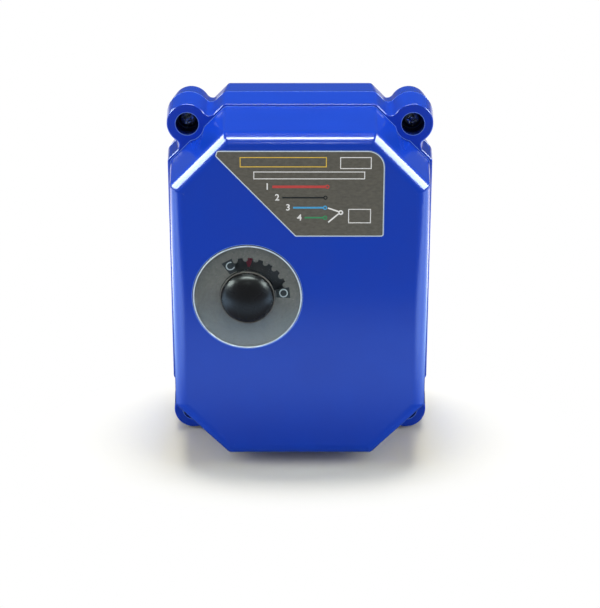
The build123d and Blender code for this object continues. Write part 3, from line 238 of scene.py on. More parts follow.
# Every finish: linear colours, patterns in cells per metre, bump depths in metres.
finishLooks = {
    "bluePlastic": {
        "colour": (0.0040, 0.052, 0.540), "shade": (0.0034, 0.047, 0.505), "blotch": ("noise", 55),
        "rough": (0.18, 0.24), "level": 0.44, "coat": 0.20, "coatRough": 0.06,
        "edge": (0.46 * mm, 0.985, 0.88), "edgeHighlightColour": (0.20, 0.38, 0.93),  # painted highlight: a paler colour on sharp edges
        "hole": (12 * mm, 0.10, 0.36), "holeShadeColour": (0.004, 0.006, 0.020),  # painted shade: a darker colour far down the screw wells
        "grain": [("noise", 260, 1.6e-5), ("noise", 1500, 2.4e-6)],
    },
    "coverScrew": {
        "colour": (0.820, 0.800, 0.780), "shade": (0.600, 0.590, 0.580), "blotch": ("noise", 900),
        "rough": (0.10, 0.17), "metal": 1.0, "grain": [("noise", 2200, 4.0e-6)],
    },
    "zincScrew": {
        "colour": (0.62, 0.61, 0.56), "shade": (0.47, 0.47, 0.45), "blotch": ("noise", 700),
        "rough": (0.22, 0.38), "metal": 1.0, "grain": [("noise", 2500, 3.0e-6)],
    },
    "turnedSteel": {
        "colour": (0.60, 0.60, 0.61), "shade": (0.50, 0.50, 0.51), "blotch": ("rings", 900),
        "rough": (0.16, 0.30), "metal": 1.0, "grain": [("rings", 3600, 4.0e-6)],
    },
    "groundSteel": {
        "colour": (0.63, 0.63, 0.64), "shade": (0.54, 0.54, 0.55),
        "blotch": ("noise", 1400, (1, 0.05, 1)),
        "rough": (0.12, 0.24), "metal": 1.0, "grain": [("noise", 3000, 2.0e-6, (1, 0.06, 1))],
    },
    "hobbedSteel": {
        "colour": (0.46, 0.46, 0.47), "shade": (0.35, 0.35, 0.36), "blotch": ("noise", 420),
        "rough": (0.24, 0.42), "metal": 1.0, "coat": 0.25, "coatRough": 0.15,
        "grain": [("noise", 3200, 4.0e-6, (1, 0.1, 1)), ("noise", 500, 6.0e-6)],
    },
    "springSteel": {
        "colour": (0.50, 0.49, 0.46), "shade": (0.34, 0.31, 0.27), "blotch": ("noise", 500),
        "rough": (0.18, 0.32), "metal": 1.0, "grain": [("noise", 2600, 2.5e-6, (0.05, 1, 1))],
    },
    "darkSpring": {
        "colour": (0.075, 0.068, 0.062), "shade": (0.040, 0.038, 0.040), "blotch": ("noise", 600),
        "rough": (0.28, 0.45), "metal": 0.9, "grain": [("noise", 2000, 4.0e-6)],
    },
    "brass": {
        "colour": (0.74, 0.52, 0.20), "shade": (0.60, 0.40, 0.15), "blotch": ("noise", 300),
        "rough": (0.18, 0.34), "metal": 1.0, "grain": [("noise", 2400, 4.0e-6, (1, 0.2, 1))],
    },
    "tinned": {
        "colour": (0.66, 0.66, 0.65), "shade": (0.52, 0.52, 0.52), "blotch": ("noise", 800),
        "rough": (0.20, 0.36), "metal": 1.0, "grain": [("noise", 1800, 4.0e-6)],
    },
    "sinteredBronze": {
        "colour": (0.46, 0.27, 0.12), "shade": (0.31, 0.17, 0.075), "blotch": ("cells", 2600),
        "rough": (0.30, 0.52), "metal": 1.0, "coat": 0.3, "coatRough": 0.2,
        "grain": [("cells", 3400, 1.2e-5)],
    },
    "zincPlate": {
        "colour": (0.58, 0.58, 0.53), "shade": (0.50, 0.51, 0.49), "blotch": ("noise", 150),
        "rough": (0.22, 0.40), "metal": 1.0,
        "grain": [("noise", 2600, 3.0e-6, (1, 1, 0.04)), ("noise", 300, 8.0e-6)],
    },
    "drawnCan": {
        "colour": (0.58, 0.58, 0.57), "shade": (0.47, 0.47, 0.47),
        "blotch": ("noise", 260, (1, 0.06, 1)),
        "rough": (0.20, 0.34), "metal": 1.0, "grain": [("noise", 2200, 4.0e-6, (1, 0.03, 1))],
    },
    "platePrint": {  # dark grey anodised, finely sanded
        "colour": (0.178, 0.160, 0.127), "shade": (0.122, 0.109, 0.085),
        "blotch": ("noise", 1500, (0.5, 1, 1)),
        "rough": (0.36, 0.50), "metal": 0.3,
        "grain": [("noise", 2600, 7.0e-6, (0.2, 1, 1)), ("cells", 2100, 5.0e-6)],
    },
    "dialPrint": {  # silver-grey flake paint
        "colour": (0.156, 0.134, 0.117), "shade": (0.116, 0.099, 0.087), "blotch": ("noise", 1300),
        "rough": (0.36, 0.52), "metal": 0.15,
        "grain": [("cells", 2300, 7.0e-6), ("noise", 160, 1.5e-5)],
    },
    "blackRubber": {
        "colour": (0.020, 0.020, 0.022), "shade": (0.013, 0.013, 0.014), "blotch": ("noise", 200),
        "rough": (0.42, 0.60), "ior": 1.52, "grain": [("noise", 1700, 6.0e-6)],
    },
    "plugRubber": {
        "colour": (0.016, 0.016, 0.018), "shade": (0.012, 0.012, 0.013), "blotch": ("noise", 160),
        "rough": (0.24, 0.30), "level": 0.24,
        "grain": [("noise", 900, 3.0e-6), ("noise", 180, 1.5e-5)],
    },
    "blackMoulding": {
        "colour": (0.024, 0.024, 0.026), "shade": (0.017, 0.017, 0.018), "blotch": ("noise", 130),
        "rough": (0.34, 0.48), "grain": [("noise", 1900, 9.0e-6), ("cells", 2800, 3.0e-6)],
    },
    "smokedMoulding": {
        "colour": (0.020, 0.014, 0.014), "shade": (0.013, 0.010, 0.010), "blotch": ("noise", 240),
        "rough": (0.30, 0.45), "grain": [("noise", 1500, 5.0e-6)],
    },
    "redMoulding": {
        "colour": (0.150, 0.006, 0.020), "shade": (0.110, 0.004, 0.014), "blotch": ("noise", 300),
        "rough": (0.26, 0.38), "grain": [("noise", 1500, 4.0e-6)],
    },
    "yellowMoulding": {
        "colour": (0.72, 0.43, 0.025), "shade": (0.62, 0.35, 0.018), "blotch": ("noise", 150),
        "rough": (0.28, 0.40), "under": 0.06, "grain": [("noise", 1500, 5.0e-6)],
    },
    "whiteAcetal": {
        "colour": (0.78, 0.77, 0.73), "shade": (0.70, 0.69, 0.64), "blotch": ("noise", 300),
        "rough": (0.26, 0.38), "under": 0.12, "grain": [("noise", 2200, 3.0e-6)],
    },
    "greenMask": {
        "colour": (0.010, 0.150, 0.055), "shade": (0.008, 0.120, 0.044), "blotch": ("cells", 240),
        "rough": (0.20, 0.30), "coat": 0.5, "coatRough": 0.06,
        "grain": [("noise", 2600, 3.0e-6, (1, 1, 0.3))],
    },
    "greenTrack": {
        "colour": (0.022, 0.240, 0.085), "shade": (0.018, 0.200, 0.070), "blotch": ("noise", 500),
        "rough": (0.20, 0.30), "coat": 0.5, "coatRough": 0.06, "grain": [("noise", 1800, 2.0e-6)],
    },
    "greenMoulding": {
        "colour": (0.020, 0.270, 0.095), "shade": (0.015, 0.220, 0.075), "blotch": ("noise", 200),
        "rough": (0.32, 0.45), "grain": [("noise", 1700, 6.0e-6)],
    },
    "relayMoulding": {
        "colour": (0.022, 0.055, 0.215), "shade": (0.017, 0.044, 0.175), "blotch": ("noise", 200),
        "rough": (0.34, 0.46), "grain": [("noise", 1900, 7.0e-6)],
    },
    "canFoil": {
        "colour": (0.70, 0.70, 0.71), "shade": (0.60, 0.60, 0.62),
        "blotch": ("noise", 500, (1, 0.05, 1)),
        "rough": (0.18, 0.30), "metal": 1.0, "grain": [("noise", 2400, 3.0e-6, (1, 0.04, 1))],
    },
    # pale frosted acrylic: partly a frosted edge, partly a painted highlight of the lens's rounded rim
    "frostedRimHighlight": {
        "colour": (0.78, 0.86, 0.95), "shade": (0.52, 0.58, 0.66), "blotch": ("noise", 420),
        "rough": (0.20, 0.36), "grain": [("noise", 1900, 3.0e-6)],
    },
    "solder": {
        "colour": (0.60, 0.60, 0.59), "shade": (0.46, 0.46, 0.46), "blotch": ("noise", 900),
        "rough": (0.18, 0.36), "metal": 1.0, "grain": [("noise", 1500, 6.0e-6)],
    },
    "darkEpoxy": {
        "colour": (0.020, 0.020, 0.021), "shade": (0.013, 0.013, 0.014), "blotch": ("noise", 500),
        "rough": (0.42, 0.55), "grain": [("noise", 2600, 5.0e-6)],
    },
    "chipCeramic": {
        "colour": (0.36, 0.25, 0.15), "shade": (0.29, 0.20, 0.12), "blotch": ("noise", 900),
        "rough": (0.34, 0.48), "grain": [("noise", 2600, 4.0e-6)],
    },
}


finishLooks["blueMark"] = dict(finishLooks["bluePlastic"])  # the same without the painted edge highlight
finishLooks["blueMark"].pop("edge", None)

# Printing inks: the colour, its shade and how rough it is.
inks = {
    # painted highlight: the pale blue line along the nameplate's edge
    "plateEdgeHighlight": ((0.78, 0.90, 1.0), (0.68, 0.80, 0.92), (0.24, 0.36)),
    "greyInk": ((0.42, 0.43, 0.44), (0.36, 0.37, 0.38), (0.34, 0.46)),
    "whiteInk": ((0.93, 0.93, 0.91), (0.86, 0.86, 0.84), (0.40, 0.52)),
    "yellowInk": ((0.930, 0.620, 0.060), (0.860, 0.560, 0.048), (0.40, 0.52)),
    "redInk": ((0.640, 0.052, 0.044), (0.560, 0.040, 0.034), (0.40, 0.52)),
    "blackInk": ((0.004, 0.004, 0.004), (0.008, 0.007, 0.007), (0.36, 0.50)),
    "blueInk": ((0.060, 0.430, 0.780), (0.048, 0.370, 0.700), (0.40, 0.52)),
    "greenInk": ((0.034, 0.350, 0.130), (0.028, 0.300, 0.110), (0.40, 0.52)),
}
for inkName, (colour, shade, rough) in inks.items():
    finishLooks[inkName] = {
        "colour": colour, "shade": shade, "rough": rough,
        "blotch": ("noise", 900), "grain": [("noise", 1900, 2.0e-6)],
    }

clearLook = {
    "colour": (0.965, 0.972, 0.970), "rough": 0.02, "ior": 1.49,
    "wave": 70, "waveDepth": 1.5e-5,
    "shadow": (0.95, 0.96, 0.96),  # what light keeps of itself when it goes through
}


def clearFinish():
    made = bpy.data.materials.new("clearMoulding")
    made.use_nodes = True
    tree = made.node_tree
    shader = tree.nodes["Principled BSDF"]
    shader.inputs["Base Color"].default_value = (*clearLook["colour"], 1)
    shader.inputs["Transmission Weight"].default_value = 1.0
    shader.inputs["Roughness"].default_value = clearLook["rough"]
    shader.inputs["IOR"].default_value = clearLook["ior"]
    height = pattern(tree, "noise", clearLook["wave"])
    wave = addNode(tree, "Bump", (), {"Height": height, "Distance": clearLook["waveDepth"]})
    tree.links.new(wave.outputs[0], shader.inputs["Normal"])
    shadow = addNode(tree, "LightPath").outputs["Is Shadow Ray"]
    through = addNode(tree, "BsdfTransparent", (), {"Color": (*clearLook["shadow"], 1)}).outputs[0]
    mixed = addNode(tree, "MixShader", (), {0: shadow, 1: shader.outputs[0], 2: through})
    tree.links.new(mixed.outputs[0], tree.nodes["Material Output"].inputs["Surface"])
    return made


finishes = {name: makeFinish(name, look) for name, look in finishLooks.items()}
finishes["clear"] = clearFinish()
print("finishes:", len(finishes))

# Which nodes wear which finish.
nodeFinishes = {
    "bluePlastic": "base_housing cover",
    "zincScrew": "terminal_screws plate_posts motor_screws",
    "turnedSteel": "output_shaft shaft_sleeve",
    "groundSteel": "gear_pins motor_shaft lever_pins gear_key",
    "hobbedSteel": "output_gear gear_3 gear_2",
    "springSteel": "closed_lever open_lever",
    "darkSpring": "circlip cam_screws",
    "brass": "cover_inserts flange_inserts motor_pinion gear_1",
    "tinned": "motor_terminals switch_terminals",
    "sinteredBronze": "rear_bush front_bush",
    "zincPlate": "gearbox_plate",
    "drawnCan": "motor_can",
    "platePrint": "nameplate",
    "dialPrint": "dial_plate",
    "clear": "dial_lens",
    "blackRubber": "cover_gasket lens_seal shaft_seal gland_washer gland_insert",
    "plugRubber": "override_plug",
    "blackMoulding": "gland_body gland_nut gland_locknut closed_switch open_switch motor_cap",
    "smokedMoulding": "pointer_disc",
    "redMoulding": "pointer open_cam",
    "yellowMoulding": "closed_cam film_capacitor",
    "whiteAcetal": "closed_roller open_roller",
    "greenMask": "circuit_board",
    "greenMoulding": "terminal_block",
    "relayMoulding": "relays",
    "canFoil": "capacitor",
    "coverScrew": "cover_screws",
}
for finishName, names in nodeFinishes.items():
    for name in names.split():
        for place in nodes[name].material_slots:
            place.material = finishes[finishName]


sharpAngle = radians(32)


def addPiece(name, shape, finish, body, stands=()):
    # shape is a bmesh in metres; the piece gets smooth faces with sharp edges kept
    bmesh.ops.remove_doubles(shape, verts=shape.verts, dist=1e-7)
    bmesh.ops.recalc_face_normals(shape, faces=shape.faces)
    mesh = bpy.data.meshes.new(name)
    shape.to_mesh(mesh)
    shape.free()
    mesh.polygons.foreach_set("use_smooth", [True] * len(mesh.polygons))
    mesh.set_sharp_from_angle(angle=sharpAngle)
    mesh.materials.append(finishes[finish])
    made = bpy.data.objects.new(name, mesh)
    scene.collection.objects.link(made)
    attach(made, body)
    if stands:
        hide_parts(*stands)
    return made


def looseBoxes(name):
    # the box of each separate solid of a node, from low to high
    copy = bmesh.new()
    copy.from_mesh(nodes[name].data)
    bmesh.ops.remove_doubles(copy, verts=copy.verts, dist=1e-6)
    seen, boxes = set(), []
    for start in copy.verts:
        if start in seen:
            continue
        seen.add(start)
        left, spots = [start], []
        while left:
            one = left.pop()
            spots.append(one.co.copy())
            for edge in one.link_edges:
                other = edge.other_vert(one)
                if other not in seen:
                    seen.add(other)
                    left.append(other)
        low, high = (Vector(pick(p[i] for p in spots) for i in range(3)) for pick in (min, max))
        boxes.append((low, high))
    copy.free()
    return sorted(boxes, key=lambda each: [round(v, 5) for v in each[0]])


def addRing(shape, spots):
    return [shape.verts.new(spot) for spot in spots]


def middleOf(low, high):
    return (low.x + high.x) / 2, (low.z + high.z) / 2


def circle(at, radius, y, steps):
    # spots round an axis along Y through at = (x, z)
    turns = [tau * i / steps for i in range(steps)]
    return [(at[0] + radius * cos(turn), y, at[1] + radius * sin(turn)) for turn in turns]


def bridge(shape, first, second):
    count = len(first)
    for i in range(count):
        j = (i + 1) % count
        shape.faces.new((first[i], first[j], second[j], second[i]))


def turned(shape, at, profile, steps=48):
    # a profile of (radius, y) turned round an axis along Y through at = (x, z)
    rings = []
    for radius, y in profile:
        if radius < 1e-9:
            rings.append(addRing(shape, [(at[0], y, at[1])]))
        else:
            rings.append(addRing(shape, circle(at, radius, y, steps)))
    for first, second in zip(rings, rings[1:]):
        if len(first) == 1 or len(second) == 1:
            tip, rim = (first[0], second) if len(first) == 1 else (second[0], first)
            for i in range(steps):
                shape.faces.new((tip, rim[i], rim[(i + 1) % steps]))
        else:
            bridge(shape, first, second)


def thread(shape, at, crest, root, pitch, start, end, steps=30, inner=False):
    # a screw thread along Y from start to end: capped at its ends, or open for an inner one
    length = abs(end - start)
    rows = max(4, int(length / pitch * 4))
    rings = []
    for row in range(rows + 1):
        along = length * row / rows
        y = start + (end - start) * row / rows
        runOut = min(1.0, along / pitch, (length - along) / pitch)
        spots = []
        for i in range(steps):
            turn = i / steps
            wave = abs(((along / pitch + turn) % 1.0) * 2 - 1)
            if inner:
                radius = crest + (root - crest) * wave * runOut
            else:
                radius = root + (crest - root) * wave * (0.25 + 0.75 * runOut)
            spots.append((at[0] + radius * cos(tau * turn), y, at[1] + radius * sin(tau * turn)))
        rings.append(addRing(shape, spots))
    for first, second in zip(rings, rings[1:]):
        bridge(shape, first, second)
    if not inner:
        for ring, y in ((rings[0], start), (rings[-1], end)):
            tip = shape.verts.new((at[0], y, at[1]))
            for i in range(steps):
                shape.faces.new((tip, ring[i], ring[(i + 1) % steps]))
    return rings


def crossSection(reach, half):
    # the outline of a cross recess, with slanting inner corners
    inner = half * 1.35
    corners = []
    for k in range(4):
        turn = k * pi / 2
        for x, z in ((reach, -half), (reach, half), (inner, inner)):
            corners.append((x * cos(turn) - z * sin(turn), x * sin(turn) + z * cos(turn)))
    return corners


def evaluatedMesh(made):
    # a new mesh with the object's modifiers or text worked out
    graph = bpy.context.evaluated_depsgraph_get()
    return bpy.data.meshes.new_from_object(made.evaluated_get(graph))


def cutAway(solid, cutter):
    # solid less cutter, both bmeshes, by an exact boolean
    kept = []
    for made in (solid, cutter):
        bmesh.ops.recalc_face_normals(made, faces=made.faces)
        mesh = bpy.data.meshes.new("cutting")
        made.to_mesh(mesh)
        made.free()
        each = bpy.data.objects.new("cutting", mesh)
        scene.collection.objects.link(each)
        kept.append(each)
    cut = kept[0].modifiers.new("cut", "BOOLEAN")
    cut.operation, cut.solver, cut.object = "DIFFERENCE", "EXACT", kept[1]
    done = evaluatedMesh(kept[0])
    result = bmesh.new()
    result.from_mesh(done)
    for each in kept:
        old = each.data
        bpy.data.objects.remove(each)
        bpy.data.meshes.remove(old)
    bpy.data.meshes.remove(done)
    return result


# The screws, with a cross recess in a pan head, and threads. In mm: the head's height, the
# shank's radius and the thread's pitch; the recess reaches out to a share of the head's radius.
screwKinds = {
    "cover_screws": {
        "finish": "coverScrew", "head": 1.9, "shank": 1.5, "pitch": 0.5, "recess": 0.66,
    },
    "plate_screws": {
        "finish": "zincScrew", "head": 1.8, "shank": 1.5, "pitch": 0.5, "recess": 0.62,
    },
    "switch_screws": {
        "finish": "zincScrew", "head": 1.3, "shank": 1.0, "pitch": 0.4, "recess": 0.62,
    },
    "board_screws": {
        "finish": "zincScrew", "head": 1.5, "shank": 1.0, "pitch": 0.4, "recess": 0.62,
    },
}
# the pan head as shares of its radius and its height, from the middle of its top to its seat
panHead = [(0, 0), (0.45, 0.02), (0.70, 0.10), (0.88, 0.26), (0.97, 0.48), (1, 0.70), (1, 0.94),
           (0.97, 1), (0, 1)]
# the recess: depth as a share of the head's height, and its reach as a share of its mouth
recessRows = [(-0.1, 1.04), (0.62, 0.55), (0.80, 0.12)]
recessWidth = 0.24  # half the width of an arm, as a share of its reach
screwTurns = {"first": 18, "step": 47}  # degrees; each screw stops at its own angle


def addScrews(node, look):
    heads, cutters, shanks = bmesh.new(), bmesh.new(), bmesh.new()
    height, shank = look["head"] * mm, look["shank"] * mm
    for number, (low, high) in enumerate(looseBoxes(node)):
        at = middleOf(low, high)
        radius = (high.x - low.x) / 2
        top = low.y
        seat = top + height
        profile = [(radius * out, top + height * down) for out, down in panHead]
        turned(heads, at, profile, 56)
        reach = radius * look["recess"]
        turn = radians(screwTurns["first"] + screwTurns["step"] * number)
        rows = []
        for depth, share in recessRows:
            corners = crossSection(reach * share, reach * recessWidth * (0.55 + 0.45 * share))
            rows.append(addRing(cutters, [
                (at[0] + x * cos(turn) - z * sin(turn), top + height * depth,
                 at[1] + x * sin(turn) + z * cos(turn)) for x, z in corners]))
        for first, second in zip(rows, rows[1:]):
            bridge(cutters, first, second)
        cutters.faces.new(rows[0])
        cutters.faces.new(rows[-1])
        start, end = seat - height * 0.01, high.y - shank * 0.2
        thread(shanks, at, shank, shank * 0.80, look["pitch"] * mm, start, end)
    shape = cutAway(heads, cutters)
    spare = bpy.data.meshes.new("spare")
    shanks.to_mesh(spare)
    shanks.free()
    shape.from_mesh(spare)
    bpy.data.meshes.remove(spare)
    addPiece(node + "_cut", shape, look["finish"], "housing", [node])


for node, look in screwKinds.items():
    addScrews(node, look)
print("screws made")


# The flange inserts in mm, with their inner threads. The outside is rows of a place along the
# insert, measured from its rear end, its middle or its front end, and how far it is cut back
# there; rows that aren't cut back carry the knurls.
insertKind = {
    "crest": 2.1, "root": 2.45, "pitch": 0.8, "short": 0.3, "lip": 0.3,
    "knurls": 36, "knurlDepth": 0.10,
    "outside": [
        ("rear", 0, 0.25), ("rear", -0.25, 0), ("middle", 0.5, 0), ("middle", 0.4, 0.35),
        ("middle", -0.4, 0.35), ("middle", -0.5, 0), ("front", 0.25, 0), ("front", 0, 0.25),
    ],
}


def addInserts():
    shape = bmesh.new()
    crest, root, pitch, short, lip = (
        insertKind[key] * mm for key in ("crest", "root", "pitch", "short", "lip"))
    steps = insertKind["knurls"] * 2
    for low, high in looseBoxes("flange_inserts"):
        at = middleOf(low, high)
        outer = (high.x - low.x) / 2
        inner = thread(shape, at, crest, root, pitch, high.y - short, low.y + short, steps, True)
        places = {"rear": high.y, "middle": (low.y + high.y) / 2, "front": low.y}
        rows = []
        for key, along, trim in insertKind["outside"]:
            spots = []
            for i in range(steps):
                knurl = insertKind["knurlDepth"] if i % 2 and not trim else 0
                radius = outer - (trim + knurl) * mm
                turn = tau * i / steps
                spots.append((at[0] + radius * cos(turn), places[key] + along * mm,
                              at[1] + radius * sin(turn)))
            rows.append(addRing(shape, spots))
        for first, second in zip(rows, rows[1:]):
            bridge(shape, first, second)
        for mouth, y, rim in ((inner[0], high.y, rows[0]), (inner[-1], low.y, rows[-1])):
            edge = addRing(shape, circle(at, crest + lip, y, steps))
            bridge(shape, mouth, edge)
            bridge(shape, edge, rim)
    addPiece("flange_inserts_threaded", shape, "brass", "housing", ["flange_inserts"])


addInserts()


def prism(shape, outline, y, thick):
    # outline is a list of (x, z) in mm; the print stands thick mm out of the face at y (metres)
    back = addRing(shape, [(x * mm, y, z * mm) for x, z in outline])
    front = addRing(shape, [(x * mm, y - thick * mm, z * mm) for x, z in outline])
    bridge(shape, back, front)
    shape.faces.new(front)
    shape.faces.new(back)


def ringPrism(shape, middle, inner, outer, y, thick, start=0.0, sweep=360.0, steps=40):
    # a ring, or an arc of one, of rectangular section
    whole = sweep >= 360
    count = steps if whole else steps + 1
    turns = [radians(start + sweep * i / steps) for i in range(count)]
    rows = []
    for radius, depth in ((inner, 0), (outer, 0), (outer, thick), (inner, thick)):
        rows.append(addRing(shape, [((middle[0] + radius * cos(t)) * mm, y - depth * mm,
                                     (middle[1] + radius * sin(t)) * mm) for t in turns]))
    rows.append(rows[0])
    for first, second in zip(rows, rows[1:]):
        for i in range(count if whole else count - 1):
            j = (i + 1) % count
            shape.faces.new((first[i], first[j], second[j], second[i]))
    if not whole:
        for i in (0, -1):
            shape.faces.new([row[i] for row in rows[:4]])


def stroke(shape, path, width, y, thick):
    # a line of even width along the points of path, in mm, with mitred corners
    left, right = [], []
    count = len(path)
    for i, (x, z) in enumerate(path):
        before = path[max(i - 1, 0)]
        after = path[min(i + 1, count - 1)]
        first = Vector((x - before[0], z - before[1]))
        second = Vector((after[0] - x, after[1] - z))
        first, second = (v.normalized() if v.length > 1e-9 else None for v in (first, second))
        first, second = first or second, second or first
        along = (first + second).normalized()
        side = Vector((-along.y, along.x)) * (width / 2 / max(0.5, along.dot(first)))
        left.append((x + side.x, z + side.y))
        right.append((x - side.x, z - side.y))
    rows = []
    for depth in (0, thick):
        rows.append([addRing(shape, [(a * mm, y - depth * mm, b * mm) for a, b in line])
                     for line in (left, right)])
    for i in range(count - 1):
        for (l0, r0) in rows:
            shape.faces.new((l0[i], l0[i + 1], r0[i + 1], r0[i]))
        for side in (0, 1):
            a, b = rows[0][side], rows[1][side]
            shape.faces.new((a[i], a[i + 1], b[i + 1], b[i]))
    for i in (0, -1):
        shape.faces.new((rows[0][0][i], rows[1][0][i], rows[1][1][i], rows[0][1][i]))


letterSize = 1.38  # the built-in face's size for a capital of height 1


def figure(shape, text, middle, height, y, thick, turn=0.0, bold=0.0):
    # a letter or number from the built-in face, laid on the face as a thin solid
    curve = bpy.data.curves.new("figure", "FONT")
    curve.body = text
    curve.align_x, curve.align_y = "CENTER", "CENTER"
    curve.size = height * mm * letterSize
    curve.extrude = thick * mm / 2
    curve.offset = bold * mm
    curve.resolution_u = 4
    made = bpy.data.objects.new("figure", curve)
    scene.collection.objects.link(made)
    mesh = evaluatedMesh(made)
    place = Matrix.Translation((middle[0] * mm, y - thick * mm / 2, middle[1] * mm))
    upright = Matrix.Rotation(pi / 2, 4, "X")
    mesh.transform(place @ Matrix.Rotation(-radians(turn), 4, "Y") @ upright)
    shape.from_mesh(mesh)
    bpy.data.objects.remove(made)
    bpy.data.curves.remove(curve)
    bpy.data.meshes.remove(mesh)


def roundedOutline(corners):
    # corners are (x, z, radius) going round; each is replaced by an arc
    spots = []
    count = len(corners)
    for i, (x, z, radius) in enumerate(corners):
        here = Vector((x, z))
        back = (Vector(corners[i - 1][:2]) - here).normalized()
        ahead = (Vector(corners[(i + 1) % count][:2]) - here).normalized()
        half = back.angle(ahead) / 2
        reach = radius / max(1e-6, sin(half)) * cos(half)
        middle = here + (back + ahead).normalized() * radius / sin(half)
        first, last = here + back * reach, here + ahead * reach
        start = atan2(first.y - middle.y, first.x - middle.x)
        end = atan2(last.y - middle.y, last.x - middle.x)
        sweep = (end - start + pi) % tau - pi
        steps = max(2, int(abs(sweep) * 5))
        spots += [(middle.x + radius * cos(start + sweep * k / steps),
                   middle.y + radius * sin(start + sweep * k / steps)) for k in range(steps + 1)]
    return spots


# The nameplate's marks in mm on its face: a light rim, which is a painted highlight of the plate's cut
# edge tinted blue, a wiring diagram with plain terminal numbers, and blank write-in boxes.
plateMarks = {
    "slot": "grey_aluminium",
    "thick": 0.03,
    "ringThick": 0.039,
    "ringSteps": 28,
    "corners": [  # x, z and radius
        (39.0, 18.5, 0.7), (39.0, 43.7, 4.8), (-8.1, 43.7, 0.7), (-8.6, 42.2, 0.7),
        (13.9, 18.5, 0.7),
    ],
    "rim": (0.03, 0.25),  # how far in from the plate's edge it starts and ends
    "wires": [
        {"ink": "redInk", "from": 7.4, "to": 22.9, "height": 33.26, "width": 0.78, "dot": 0.62},
        {"ink": "blackInk", "from": 10.2, "to": 22.4, "height": 30.05, "width": 0.42, "dot": 0.60},
        {"ink": "blueInk", "from": 13.25, "to": 22.3, "height": 27.09, "width": 0.52, "dot": 0.62},
        {"ink": "greenInk", "from": 16.5, "to": 22.3, "height": 24.12, "width": 0.44, "dot": 0.62},
    ],
    "wireEnd": 0.8,  # a line ends this share of its ring's radius before the ring's middle
    "eye": 0.30,  # the bare middle of each end ring
    "numberOff": 1.45,
    "numberHeight": 1.9,
    "numberBold": 0.05,
    "contact": [[(23.1, 27.0), (26.1, 25.95)], [(26.1, 25.25), (23.2, 22.75)]],
    "contactWidth": 0.42,
    "contactAt": (26.75, 25.65),
    "contactRing": (0.30, 0.72),
    "fields": [  # left, right, low, high and ink
        (-1.6, 22.6, 39.1, 41.8, "yellowInk"), (26.6, 35.2, 38.6, 41.8, "whiteInk"),
        (2.2, 33.4, 35.6, 37.6, "whiteInk"), (29.0, 35.2, 22.6, 26.6, "whiteInk"),
    ],
    "fieldLine": 0.24,
}


def insetLoop(edge, inset):
    # the closed outline moved inward by inset
    loop = []
    for i, (x, z) in enumerate(edge):
        ahead, back = Vector(edge[(i + 1) % len(edge)]), Vector(edge[i - 1])
        along = (ahead - back).normalized()
        loop.append((x - along.y * inset, z + along.x * inset))
    return loop


def addPlateMarks():
    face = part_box("nameplate")[0].y + 1e-6
    thick, ringThick = plateMarks["thick"], plateMarks["ringThick"]
    ringSteps = plateMarks["ringSteps"]
    shape = bmesh.new()
    edge = roundedOutline(plateMarks["corners"])
    outer, inner = (insetLoop(edge, inset) for inset in plateMarks["rim"])
    rows = [addRing(shape, [(x * mm, face - depth * mm, z * mm) for x, z in loop])
            for loop, depth in ((outer, 0), (inner, 0), (inner, thick), (outer, thick))]
    rows.append(rows[0])
    for first, second in zip(rows, rows[1:]):
        bridge(shape, first, second)
    # painted highlight: a pale blue line just inside the plate's edge, where its cut edge catches light
    addPiece("plate_rim", shape, "plateEdgeHighlight", "housing")
    white = bmesh.new()
    for number, wire in enumerate(plateMarks["wires"], 1):
        shape = bmesh.new()
        height = wire["height"]
        end = wire["to"] - wire["dot"] * plateMarks["wireEnd"]
        stroke(shape, [(wire["from"], height), (end, height)], wire["width"], face, thick)
        spot = (wire["to"], height)
        ringPrism(shape, spot, plateMarks["eye"], wire["dot"], face, ringThick, steps=ringSteps)
        addPiece(f"plate_wire_{number}", shape, wire["ink"], "housing")
        spot = (wire["from"] - plateMarks["numberOff"], height)
        figure(white, str(number), spot, plateMarks["numberHeight"], face, thick,
               bold=plateMarks["numberBold"])
    for path in plateMarks["contact"]:
        stroke(white, path, plateMarks["contactWidth"], face, thick)
    ringPrism(white, plateMarks["contactAt"], *plateMarks["contactRing"], face, ringThick,
              steps=ringSteps)
    addPiece("plate_marks", white, "whiteInk", "housing")
    half = plateMarks["fieldLine"] / 2
    for number, (left, right, low, high, ink) in enumerate(plateMarks["fields"], 1):
        shape = bmesh.new()
        for z in (low, high):
            stroke(shape, [(left - half, z), (right + half, z)], 2 * half, face, thick)
        for x in (left, right):
            stroke(shape, [(x, low + half), (x, high - half)], 2 * half, face, thick)
        addPiece(f"plate_field_{number}", shape, ink, "housing")


addPlateMarks()

# The dial's marks in mm: dark boxes with C and O at the ends of its window, and fine beads moulded on
# the lens; the pale frosted one at its edge is partly a painted highlight of the lens's rounded rim.
dialMarks = {
    "thick": 0.03,
    "boxes": {"C": (111.0, 126.3), "O": (-2.0, 13.4)},  # degrees, counter-clockwise from +X
    "boxRadii": (8.35, 12.3),
    "arcSteps": 6,
    "letterRadius": 10.35,
    "letterHeight": 2.6,
    "letterProud": 0.027,
    "beads": {  # the bead's radius, its line's radius, how far behind the lens's front, finish
        # pale frosted bead: partly a frosted edge, partly a painted highlight of the lens's rounded rim
        "lens_edge_bead": (15.52, 0.19, 0.20, "frostedRimHighlight"),
        "plug_seat_bead": (7.80, 0.15, 0.02, "dialPrint"),
    },
    "beadSides": 10,
    "beadSteps": 120,
}


def onCircle(radius, turn):
    return radius * cos(turn), radius * sin(turn)


